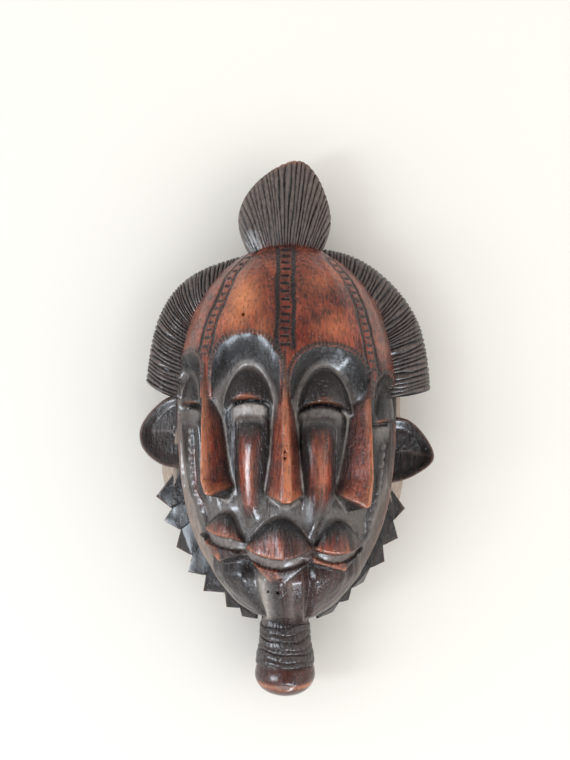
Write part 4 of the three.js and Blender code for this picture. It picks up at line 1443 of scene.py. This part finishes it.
@dataclass
class Beard:
    """The ringed beard and its round end, turned about one axis."""

    axis_x: float = -1.2
    axis_z: float = 29.0
    root_y: float = -112.0
    rings_top_y: float = -132.5
    rings_bottom_y: float = -159.5
    ring_parts: tuple[float, ...] = (0.0, 0.15, 0.34, 0.47, 0.66, 0.83, 1.0)
    ring_depths: tuple[float, ...] = (1.2, 0.6, 1.0, 0.5, 0.9, 0.5)
    root_radius: float = 16.8
    end_radius: float = 20.4
    ring_depth: float = 0.8
    knob_radius: float = 20.8
    knob_flat_radius: float = 5.0
    knob_widest_part: float = 0.62
    steps: int = 140
    chip: Pair = (-1.5, -171.5)
    chip_depth: float = 1.6
    knob_steps: int = 18
    neck_steps: int = 6
    ring_steps: int = 9

    def profile(self) -> list[Pair]:
        """Draw the beard's side from its end to its root.

        Returns:
            The (radius, y) places.
        """
        end_y = -HALF_LENGTH
        widest_y = end_y + (self.rings_bottom_y - end_y) * self.knob_widest_part
        places = [(0.0, end_y)]
        rounding = self.knob_radius - self.knob_flat_radius
        for step in range(1, self.knob_steps + 1):
            turn = step / self.knob_steps * math.pi / 2.0
            places.append((self.knob_flat_radius + rounding * math.sin(turn) ** 0.9,
                           widest_y - (widest_y - end_y) * math.cos(turn) ** 1.1))
        for step in range(1, self.neck_steps + 1):
            part = step / self.neck_steps
            y = widest_y + (self.rings_bottom_y - widest_y) * part
            places.append((self.knob_radius - 1.9 * part ** 2, y))
        length = self.rings_top_y - self.rings_bottom_y
        for low, high, depth in zip(self.ring_parts, self.ring_parts[1:], self.ring_depths):
            for step in range(self.ring_steps):
                part = step / self.ring_steps
                bulge = math.sin(math.pi * part) ** 0.40 if part > 0 else 0.0
                up = low + part * (high - low)
                radius = self.end_radius + (self.root_radius - self.end_radius) * up
                places.append((radius - depth * (1.0 - bulge), self.rings_bottom_y + up * length))
        neck = self.root_radius - self.ring_depth
        return places + [(neck, self.rings_top_y), (neck, self.root_y), (0.0, self.root_y)]

    def build(self) -> Part:
        """Turn the beard's side about its axis.

        Returns:
            The beard as a part.
        """
        shape = bmesh.new()
        verts = [shape.verts.new((radius, y, self.axis_z)) for radius, y in self.profile()]
        edges = [shape.edges.new(pair) for pair in zip(verts, verts[1:])]
        bmesh.ops.spin(shape, geom=verts + edges, cent=(0.0, 0.0, self.axis_z), axis=(0.0, 1.0, 0.0),
                       angle=2.0 * math.pi, steps=self.steps, use_merge=True)
        bmesh.ops.remove_doubles(shape, verts=shape.verts, dist=PROFILE_SEAM)
        x, y, z = points_of(shape).T
        z = z - self.axis_z
        radius = np.hypot(x, z)
        turn = np.arctan2(x, z)
        on_rings = ramp(self.rings_bottom_y - 1.0, self.rings_bottom_y + 0.5, y)
        rings_y, radii = (self.rings_bottom_y, self.rings_top_y), (self.end_radius, self.root_radius)
        in_groove = on_rings * ramp(0.3, 1.2, np.interp(y, rings_y, radii) - radius)
        worn_away = hill(turn + 0.15 * np.sin(y / 3.0), 0.55) * on_rings
        y = y + on_rings * (1.0 * np.sin(2.0 * turn + y / 7.0) + 0.5 * np.sin(5.0 * turn + y / 4.0))
        nicks = np.abs(np.sin(17.0 * turn + 1.3 * np.sin(y / 2.6))) ** 6 * on_rings
        wobble = 0.4 * on_rings * np.sin(2.0 * turn + y / 3.4) + 0.25 * np.sin(3.0 * turn + 1.0) \
            - 0.5 * worn_away - 0.35 * nicks
        scale = 1.0 + np.where(radius > 1.0, (wobble - 0.35) / np.maximum(radius, 1.0), 0.0)
        x = x * scale
        z = self.axis_z + z * scale
        front = z > self.axis_z
        chip_x, chip_y = self.chip
        chip = hill(x - chip_x, 5.5) * hill(y - chip_y, 1.5) * front
        z = z - self.chip_depth * chip
        knob = ramp(self.rings_bottom_y + 0.5, self.rings_bottom_y - 2.0, y)
        worn = 0.6 * hill(y - (chip_y - 0.5), 1.6) * knob * ramp(-0.2, 0.5, np.abs(np.sin(turn)))
        below_chip = hill(y - (chip_y - 2.4), 1.0) * hill(x - chip_x, 6.0)
        worn = np.maximum(worn, 0.5 * below_chip * front)
        dust = 0.10 * in_groove + 0.05 * on_rings + 0.35 * chip
        return closed_part("beard", shape, np.stack([x + self.axis_x, y, z], axis=1), red=0.26 * knob + 0.10,
                           worn=worn, dust=dust, crest=0.3 * on_rings)


@dataclass
class Hollow:
    """The hollow cut into the back, left from the adze."""

    centre_y: float = -4.0
    half_width: float = 72.0
    half_length: float = 116.0
    depth: float = 72.0
    columns: int = 150
    rows: int = 110
    mark_depth: float = 0.55
    seed: int = 51

    def build(self) -> Part:
        """Shape the wood that the adze takes out.

        Returns:
            The hollow as a part.
        """
        shape, column, row = globe(self.columns, self.rows)
        places = points_of(shape)
        marks = tooled((self.rows + 1, self.columns), 3.0, 3.0, self.seed)
        marks = np.clip(marks, -1.2, 1.6)[row, column]
        marks = np.where((row == 0) | (row == self.rows), 0.0, marks)
        size = np.array([self.half_width, self.half_length, self.depth])
        points = places * (size - 1.0 + self.mark_depth * marks[:, None])
        points[:, 1] += self.centre_y
        return closed_part("hollow", shape, points, bare=0.85)


EARS = (
    Ear("left_ear", (-78, -3),
        ((-60, 20), (-74, 22.5), (-80, 20.9), (-85.8, 17.2), (-93.7, 9.7), (-98.9, 1.8),
         (-100.4, -4.9), (-99.2, -12.2), (-94.8, -18.6), (-89.2, -23.3), (-82.5, -26.6), (-74.7, -27.6),
         (-60, -26), (-56, -3)), 0, window_side_sheen=0.10),
    Ear("right_ear", (77, -16),
        ((56, -16), (58, -36), (71.6, -37.8), (79, -36), (85, -33.6), (92.8, -29),
         (98.6, -24.4), (100.4, -20), (98.8, -14.4), (95, -7.7), (89.4, -0.4), (82.4, 5.4),
         (74.3, 7.2), (60, 5)), -10, seed=62),
)

ROLLS = (
    Roll("right_roll",
         ((2, 121.5), (20, 122), (36.6, 120), (46.1, 116.4), (54.9, 112.1), (65.1, 103.9),
          (73.9, 95.8), (80.7, 87.7), (86.1, 79.5), (90.4, 71.4), (93.4, 61), (95.2, 51),
          (97, 38.8), (97.6, 25.5)), 13, seed=31),
    Roll("left_roll",
         ((-4, 121), (-18, 120), (-31.9, 116.4), (-45, 112.6), (-57.6, 108), (-66, 103.4),
          (-75.3, 95.8), (-81.4, 87.7), (-85.8, 79.5), (-89.2, 71.4), (-92, 61), (-93.6, 50),
          (-95, 40), (-96, 31.5)), 30, seed=32),
)

BORDERS = (
    Border("left_border", ((-89.4, -47.4), (-83.9, -63.9), (-76, -82.6), (-67.4, -98.5), (-57.2, -112.2),
                           (-41.5, -123.4), (-30.8, -129.8)),
           ((-74, -27.5), (-78.2, -55.2), (-72.2, -69.8), (-64.4, -87.2), (-55.2, -100.6), (-42.2, -112.2),
            (-32.2, -122.7), (-20, -130))),
    Border("right_border", ((80.6, -55.6), (75.8, -75.9), (66.7, -92), (52.7, -106.9), (42, -118.2),
                            (31.5, -127.4)),
           ((68.5, -39), (72.2, -63.4), (65.2, -80.2), (56.7, -95.6), (44.1, -109.3), (35.8, -118.8),
            (20, -130)), seed=23),
)


def solid_join(base: bpy.types.Object, other: bpy.types.Object, operation: str) -> None:
    """Join or cut one closed part with another, and remove the other.

    Args:
        base: The part that is kept.
        other: The part that is joined to it or cut out of it.
        operation: UNION or DIFFERENCE.
    """
    cut = base.modifiers.new(operation.lower(), "BOOLEAN")
    cut.operation = operation
    cut.solver = "MANIFOLD"
    cut.object = other
    apply_modifiers(base)
    bpy.data.objects.remove(other, do_unlink=True)


def apply_modifiers(made: bpy.types.Object) -> None:
    """Make the shape that an object's modifiers give its own mesh."""
    graph = bpy.context.evaluated_depsgraph_get()
    shaped = bpy.data.meshes.new_from_object(made.evaluated_get(graph), depsgraph=graph)
    old = made.data
    made.modifiers.clear()
    made.data = shaped
    bpy.data.meshes.remove(old)


@dataclass
class Mask:
    """The whole mask, joined from its parts into one block of wood."""

    name: str = "carved_wood_mask"
    most_triangles: int = 196000
    sharp_degrees: float = 38.0

    def build(self) -> bpy.types.Object:
        """Shape all parts, join them, hollow the block and lay on its coats.

        Returns:
            The mask's object, in metres.
        """
        parts = [Head().build(), Block().build(), Leaf().build(), Beard().build()]
        parts += [ear.build() for ear in EARS]
        parts += [roll.build() for roll in ROLLS]
        parts += [border.build() for border in BORDERS]
        hollow = Hollow().build()
        head, body, *others = [mesh_object(part.name, part.shape) for part in parts]
        for other in others:
            solid_join(body, other, "UNION")
        solid_join(head, body, "UNION")
        solid_join(head, mesh_object(hollow.name, hollow.shape), "DIFFERENCE")
        triangles = sum(len(face.vertices) - 2 for face in head.data.polygons)
        LOG.info("joined block has %d triangles", triangles)
        thinner = head.modifiers.new("thin", "DECIMATE")
        thinner.ratio = min(1.0, self.most_triangles / triangles)
        apply_modifiers(head)
        head.name = self.name
        head.data.name = self.name
        self.lay_coats(head.data, parts + [hollow])
        head.data.transform(Matrix.Scale(METRES_PER_MM, 4))
        head.data.shade_smooth()
        head.data.set_sharp_from_angle(angle=math.radians(self.sharp_degrees))
        LOG.info("%s has %d triangles", self.name, len(head.data.polygons))
        return head

    def lay_coats(self, mesh: bpy.types.Mesh, parts: list[Part]) -> None:
        """Give each point of the joined mesh the coats of the nearest point that was shaped.

        Args:
            mesh: The joined mesh, still in millimetres.
            parts: Every part, with the hollow.
        """
        points = np.concatenate([part.points for part in parts])
        tree = KDTree(len(points))
        for index, place in enumerate(points.tolist()):
            tree.insert(place, index)
        tree.balance()
        nearest = [tree.find(vert.co)[1] for vert in mesh.vertices]
        for coat in Coat:
            values = np.concatenate([part.coats[coat] for part in parts])[nearest]
            layer = mesh.attributes.new(coat.value, "FLOAT", "POINT")
            layer.data.foreach_set("value", share(values).astype(np.float32))


Socket = bpy.types.NodeSocket
Colour = tuple[float, float, float]
Place = tuple[float, float, float]
Number = Socket | float
Feed = Number | Colour


@dataclass
class Bench:
    """A node tree being wired, with short ways to add the nodes that the finishes use."""

    tree: bpy.types.NodeTree

    def node(self, kind: str, feeds: dict[str, Feed] | None = None, **settings: object) -> bpy.types.Node:
        """Add a node, set its properties and feed its inputs.

        Args:
            kind: The kind of node.
            feeds: What goes into its inputs, by their names.
            **settings: Its properties.

        Returns:
            The node.
        """
        made = self.tree.nodes.new(kind)
        for name, value in settings.items():
            setattr(made, name, value)
        for name, value in (feeds or {}).items():
            self.feed(made.inputs[name], value)
        return made

    def feed(self, socket: Socket, value: Feed) -> None:
        """Link a socket, or set its own value.

        Args:
            socket: The input to feed.
            value: The output to link to it, or a number or a colour.
        """
        if isinstance(value, bpy.types.NodeSocket):
            self.tree.links.new(value, socket)
        elif isinstance(value, tuple) and socket.type == "RGBA":
            socket.default_value = (*value, 1.0)
        else:
            socket.default_value = value

    def maths(self, operation: str, first: Number, second: Number = 0.0,
              clamp: bool = False) -> Socket:
        """Work out one number from two.

        Args:
            operation: The name of the sum.
            first: The first number.
            second: The second number.
            clamp: Whether the result is kept from 0 to 1.

        Returns:
            The result's socket.
        """
        made = self.node("ShaderNodeMath", operation=operation, use_clamp=clamp)
        self.feed(made.inputs[0], first)
        self.feed(made.inputs[1], second)
        return made.outputs[0]

    def times(self, first: Number, second: Number) -> Socket:
        """Multiply two numbers."""
        return self.maths("MULTIPLY", first, second)

    def plus(self, first: Number, second: Number) -> Socket:
        """Add two numbers."""
        return self.maths("ADD", first, second)

    def blend(self, part: Number, under: Socket | Colour, over: Socket | Colour) -> Socket:
        """Lay one colour over another.

        Args:
            part: How much of the upper colour covers the lower.
            under: The lower colour.
            over: The upper colour.

        Returns:
            The mixed colour's socket.
        """
        made = self.node("ShaderNodeMix", data_type="RGBA", clamp_factor=True)
        self.feed(made.inputs[0], part)
        self.feed(made.inputs[6], under)
        self.feed(made.inputs[7], over)
        return made.outputs[2]

    def spread(self, value: Socket, low: float, high: float, to_low: float, to_high: float) -> Socket:
        """Stretch a range of numbers to another, and keep it there.

        Args:
            value: The number.
            low: The start of its range.
            high: The end of its range.
            to_low: What the start becomes.
            to_high: What the end becomes.

        Returns:
            The stretched number's socket.
        """
        made = self.node("ShaderNodeMapRange", clamp=True)
        for socket, number in zip(made.inputs, (value, low, high, to_low, to_high)):
            self.feed(socket, number)
        return made.outputs[0]

    def speckle(self, place: Socket, scale: Number, detail: float, roughness: float = 0.55) -> Socket:
        """Give a cloudy pattern.

        Args:
            place: The place that the pattern reads.
            scale: How many blotches fit in a metre.
            detail: How many finer layers it has.
            roughness: How strong the finer layers are.

        Returns:
            The pattern's socket.
        """
        feeds = {"Vector": place, "Scale": scale, "Detail": detail, "Roughness": roughness}
        return self.node("ShaderNodeTexNoise", feeds).outputs["Fac"]

    def stretched(self, place: Socket, scale: tuple[float, float, float]) -> Socket:
        """Stretch the places that a pattern reads."""
        return self.node("ShaderNodeMapping", {"Vector": place, "Scale": scale}).outputs[0]


def new_finish(name: str) -> tuple[bpy.types.Material, Bench, bpy.types.Node]:
    """Start a material, and give it, its tree on a bench and its shader."""
    material = bpy.data.materials.new(name)
    material.use_nodes = True
    return material, Bench(material.node_tree), material.node_tree.nodes["Principled BSDF"]


def new_group(name: str, inputs: dict[str, float],
              outputs: tuple[str, ...]) -> tuple[Bench, bpy.types.Node, bpy.types.Node]:
    """Start a shared effect as a node group.

    Args:
        name: The effect's name.
        inputs: Its number inputs and their values.
        outputs: Its number outputs.

    Returns:
        The group's tree on a bench, its input node and its output node.
    """
    tree = bpy.data.node_groups.new(name, "ShaderNodeTree")
    add_socket = tree.interface.new_socket
    add_socket("Place", in_out="INPUT", socket_type="NodeSocketVector")
    for label, value in inputs.items():
        add_socket(label, in_out="INPUT", socket_type="NodeSocketFloat").default_value = value
    for label in outputs:
        add_socket(label, in_out="OUTPUT", socket_type="NodeSocketFloat")
    bench = Bench(tree)
    return bench, bench.node("NodeGroupInput"), bench.node("NodeGroupOutput")


def grain_group() -> bpy.types.NodeTree:
    """Build the grain of the wood, which runs along the mask.

    Returns:
        The node group: broad growth bands, fine streaks, and open pores.
    """
    bench, given, result = new_group("wood_grain", {"Streaks per metre": 640.0},
                                     ("Bands", "Streaks", "Pores"))
    place = given.outputs["Place"]
    bands = bench.speckle(bench.stretched(place, (60.0, 9.0, 60.0)), 1.0, 4.0)
    bench.feed(result.inputs["Bands"], bench.spread(bands, 0.36, 0.64, 0.0, 1.0))
    long_way = bench.stretched(place, (1.0, 0.10, 1.0))
    streak = bench.speckle(long_way, given.outputs["Streaks per metre"], 3.0, 0.5)
    bench.feed(result.inputs["Streaks"], bench.spread(streak, 0.34, 0.66, 0.0, 1.0))
    pore = bench.speckle(bench.stretched(place, (760.0, 180.0, 760.0)), 1.0, 2.0)
    bench.feed(result.inputs["Pores"], bench.spread(pore, 0.55, 0.66, 0.0, 1.0))
    return bench.tree


def breakup_group(name: str, scale: float) -> bpy.types.NodeTree:
    """Build the way in which an even coat is broken into patches.

    Args:
        name: The effect's name.
        scale: How many patches fit in a metre.

    Returns:
        The node group, which turns an even amount into a patchy one.
    """
    bench, given, result = new_group(name, {"Amount": 0.0, "Patchiness": 0.5}, ("Amount",))
    place = given.outputs["Place"]
    broad = bench.speckle(place, scale, 5.0, 0.62)
    fine = bench.speckle(place, scale * 7.0, 3.0, 0.6)
    mixed = bench.plus(bench.times(broad, 0.6), bench.times(fine, 0.4))
    centred = bench.times(bench.maths("SUBTRACT", mixed, 0.5), 3.2)
    varied = bench.times(centred, given.outputs["Patchiness"])
    strength = bench.times(given.outputs["Amount"], bench.plus(varied, 1.0))
    bench.feed(result.inputs["Amount"], bench.maths("ADD", strength, 0.0, clamp=True))
    return bench.tree


@dataclass(frozen=True)
class StainedWood:
    """Dark stained and polished wood, rubbed bare on its ridges and dusty in its hollows, with painted sheen
    and glints laid in its dust colour.
    """

    dark: Colour = (0.0120, 0.0110, 0.0120)
    red: Colour = (0.190, 0.033, 0.018)
    red_light: Colour = (0.470, 0.125, 0.060)
    red_dark: Colour = (0.050, 0.014, 0.011)
    copper: Colour = (0.500, 0.190, 0.085)
    crest: Colour = (0.060, 0.049, 0.048)
    dust: Colour = (0.330, 0.290, 0.265)
    bare: Colour = (0.375, 0.300, 0.250)
    bare_dark: Colour = (0.275, 0.212, 0.172)
    polish_roughness: float = 0.19
    crest_roughness: float = 0.38
    dust_roughness: float = 0.80
    coat_weight: float = 0.45
    coat_roughness: float = 0.24
    bump_distance: float = 0.00050
    specular: float = 0.45
    blotches_per_metre: float = 42.0
    rubs_per_metre: float = 260.0
    dust_per_metre: float = 330.0
    dust_and_glint_specks_per_metre: float = 620.0
    dents_per_metre: float = 330.0
    scratches_per_metre: float = 1400.0

    def build(self) -> bpy.types.Material:
        """Wire the finish.

        Returns:
            The material.
        """
        material, bench, shader = new_finish("stained_wood_finish")
        place = bench.node("ShaderNodeTexCoord").outputs["Object"]
        coats = {coat: bench.node("ShaderNodeAttribute", attribute_name=coat.value).outputs["Fac"]
                 for coat in Coat}

        grain = bench.node("ShaderNodeGroup", {"Place": place}, node_tree=grain_group()).outputs
        bands, streaks, pores = grain["Bands"], grain["Streaks"], grain["Pores"]
        worn, dust = (
            bench.node("ShaderNodeGroup", {"Place": place, "Amount": coats[coat], "Patchiness": patchiness},
                       node_tree=breakup_group(name, scale)).outputs["Amount"]
            for coat, name, scale, patchiness in (
                (Coat.WORN, "rubbed_patches", self.rubs_per_metre, 0.55),
                (Coat.DUST, "dust_patches", self.dust_per_metre, 1.05)))

        stain = bench.blend(bench.times(bands, 0.55), self.red, self.red_light)
        blotch = bench.speckle(place, self.blotches_per_metre, 5.0, 0.65)
        blotch = bench.spread(blotch, 0.42, 0.60, 0.85, 0.0)
        blotch = bench.times(blotch, bench.spread(streaks, 0.0, 1.0, 1.0, 0.55))
        stain = bench.blend(blotch, stain, self.red_dark)
        stain = bench.blend(bench.spread(streaks, 0.50, 0.0, 0.0, 0.45), stain, self.dark)
        streaky = bench.spread(streaks, 0.0, 0.6, 0.80, 1.0)
        redness = bench.maths("MULTIPLY", coats[Coat.RED], streaky, clamp=True)
        colour = bench.blend(redness, self.dark, stain)
        crest_tone = bench.blend(streaks, self.dark, self.crest)
        colour = bench.blend(bench.times(coats[Coat.CREST], 0.85), colour, crest_tone)
        colour = bench.blend(worn, colour, self.copper)
        colour = bench.blend(bench.times(pores, 0.40), colour, self.dark)
        # Pale specks of the dust colour all over the wood: partly dust, partly painted glints that stand in
        # for the sparkle of the polish.
        dust_and_glint_specks = bench.speckle(place, self.dust_and_glint_specks_per_metre, 1.0, 0.5)
        dust = bench.maths("MAXIMUM", dust, bench.spread(dust_and_glint_specks, 0.67, 0.75, 0.0, 0.20))
        colour = bench.blend(dust, colour, self.dust)
        bare_tone = bench.blend(bench.spread(streaks, 0.2, 0.8, 0.0, 1.0), self.bare_dark, self.bare)
        colour = bench.blend(coats[Coat.BARE], colour, bare_tone)
        bench.feed(shader.inputs["Base Color"], colour)

        rough = bench.spread(coats[Coat.CREST], 0.0, 1.0, self.polish_roughness, self.crest_roughness)
        rough = bench.plus(rough, bench.spread(bands, 0.0, 1.0, -0.04, 0.08))
        matt = bench.maths("MAXIMUM", dust, coats[Coat.BARE])
        polished = bench.times(rough, bench.maths("SUBTRACT", 1.0, matt))
        bench.feed(shader.inputs["Roughness"], bench.plus(polished, bench.times(matt, self.dust_roughness)))

        fine = bench.speckle(place, self.scratches_per_metre, 3.0, 0.6)
        dents = bench.speckle(place, self.dents_per_metre, 2.0, 0.5)
        height = bench.plus(bench.times(fine, 0.45), bench.times(dents, 0.9))
        height = bench.plus(height, bench.times(streaks, 0.35))
        height = bench.maths("SUBTRACT", height, bench.times(pores, 0.6))
        feeds = {"Strength": 1.0, "Distance": self.bump_distance, "Height": height}
        bench.feed(shader.inputs["Normal"], bench.node("ShaderNodeBump", feeds).outputs["Normal"])
        shader.inputs["Specular IOR Level"].default_value = self.specular
        shader.inputs["Coat Weight"].default_value = self.coat_weight
        shader.inputs["Coat Roughness"].default_value = self.coat_roughness
        return material

    def dress(self, made: bpy.types.Object) -> None:
        """Give a piece this finish."""
        made.data.materials.clear()
        made.data.materials.append(self.build())


@dataclass(frozen=True)
class PaleFloor:
    """The plain pale floor that the mask lies on."""

    colour: Colour = (0.605, 0.588, 0.556)
    roughness: float = 0.75
    half_size: float = 3.0
    gap: float = 0.00005

    def build(self) -> bpy.types.Object:
        """Lay the floor at the height of the mask's rear rim.

        Returns:
            The floor's object.
        """
        shape = bmesh.new()
        below = Matrix.Translation((0.0, 0.0, -self.gap))
        bmesh.ops.create_grid(shape, x_segments=1, y_segments=1, size=self.half_size, matrix=below)
        floor = mesh_object("floor", shape)
        material, _, shader = new_finish("pale_floor")
        shader.inputs["Base Color"].default_value = (*self.colour, 1.0)
        shader.inputs["Roughness"].default_value = self.roughness
        floor.data.materials.append(material)
        return floor


DAYLIGHT: Colour = (0.82, 0.91, 1.0)
WARM_LIGHT: Colour = (1.0, 0.97, 0.93)
WINDOW_PLACE: Place = (-1.02, -0.26, 0.95)
WINDOW_SIZE = (0.24, 0.60)


@dataclass(frozen=True)
class SoftLight:
    """One large soft lamp."""

    name: str
    place: Place
    size: Pair
    power: float
    colour: Colour = DAYLIGHT
    only_mirrored: bool = False
    aim: Place = (0.0, 0.0, 0.03)

    def build(self) -> bpy.types.Object:
        """Hang the lamp and turn it to what it lights.

        Returns:
            The lamp's object.
        """
        lamp = bpy.data.lights.new(self.name, "AREA")
        lamp.shape = "RECTANGLE"
        lamp.size, lamp.size_y = self.size
        lamp.energy = self.power
        lamp.color = self.colour
        made = put_in_scene(self.name, lamp)
        made.location = self.place
        made.rotation_euler = (Vector(self.aim) - Vector(self.place)).to_track_quat("-Z", "Y").to_euler()
        made.visible_diffuse = not self.only_mirrored
        return made


@dataclass(frozen=True)
class Studio:
    """The room's light and the camera, straight in front of the mask."""

    camera_place: Place = (-0.00135, 0.03206, 0.735)
    lens: float = 32.8
    sensor_height: float = 24.0
    exposure: float = 0.50
    room_colour: Colour = (1.0, 0.995, 0.985)
    window_way: Pair = (-0.97, -0.22)
    far_side: float = 1.02
    window_side: float = 1.25
    window_from: Pair = (-0.3, 0.9)
    overhead_part: float = 0.36
    mirrored_part: float = 0.26
    overhead_from: Pair = (0.70, 0.92)
    lamps: tuple[SoftLight, ...] = (
        SoftLight("window", WINDOW_PLACE, WINDOW_SIZE, 3.0),
        SoftLight("window_glare", WINDOW_PLACE, WINDOW_SIZE, 12.0, only_mirrored=True),
        SoftLight("low_window", (0.22, -1.15, 0.85), (0.45, 0.20), 11.0, only_mirrored=True),
        SoftLight("bounce", (1.10, -0.25, 0.80), (1.2, 1.2), 3.0, WARM_LIGHT),
    )

    def light_room(self) -> bpy.types.World:
        """Light the walls of the room, brightest on the window's side and dim overhead.

        Returns:
            The world.
        """
        world = bpy.data.worlds.new("room")
        world.use_nodes = True
        bench = Bench(world.node_tree)
        background = world.node_tree.nodes["Background"]
        background.inputs["Color"].default_value = (*self.room_colour, 1.0)
        way = bench.node("ShaderNodeSeparateXYZ")
        bench.feed(way.inputs[0], bench.node("ShaderNodeTexCoord").outputs["Generated"])
        to_window = bench.plus(bench.times(way.outputs["X"], self.window_way[0]),
                               bench.times(way.outputs["Y"], self.window_way[1]))
        walls = bench.spread(to_window, *self.window_from, self.far_side, self.window_side)
        overhead = bench.spread(way.outputs["Z"], *self.overhead_from, 1.0, self.overhead_part)
        is_mirrored = bench.node("ShaderNodeLightPath").outputs["Is Glossy Ray"]
        mirrored = bench.spread(is_mirrored, 0.0, 1.0, 1.0, self.mirrored_part)
        bench.feed(background.inputs["Strength"], bench.times(bench.times(walls, overhead), mirrored))
        return world

    def build(self) -> None:
        """Light the room and set up the camera."""
        scene = bpy.context.scene
        scene.world = self.light_room()
        for lamp in self.lamps:
            lamp.build()
        camera = bpy.data.cameras.new("camera")
        camera.sensor_fit = "VERTICAL"
        camera.sensor_height = self.sensor_height
        camera.lens = self.lens
        scene.camera = put_in_scene("camera", camera)
        scene.camera.location = self.camera_place
        scene.view_settings.view_transform = "Standard"
        scene.view_settings.look = "Medium High Contrast"
        scene.view_settings.exposure = self.exposure


def main() -> None:
    """Make the mask, its floor, its light and its camera."""
    logging.basicConfig(level=logging.INFO, format="%(message)s")
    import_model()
    mask = Mask().build()
    StainedWood().dress(mask)
    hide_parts(CAD_NODE)
    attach(mask, BODY)
    LOG.info("%s rides on %s and stands for %s", mask.name, BODY, CAD_NODE)
    PaleFloor().build()
    Studio().build()


if __name__ == "__main__":
    main()
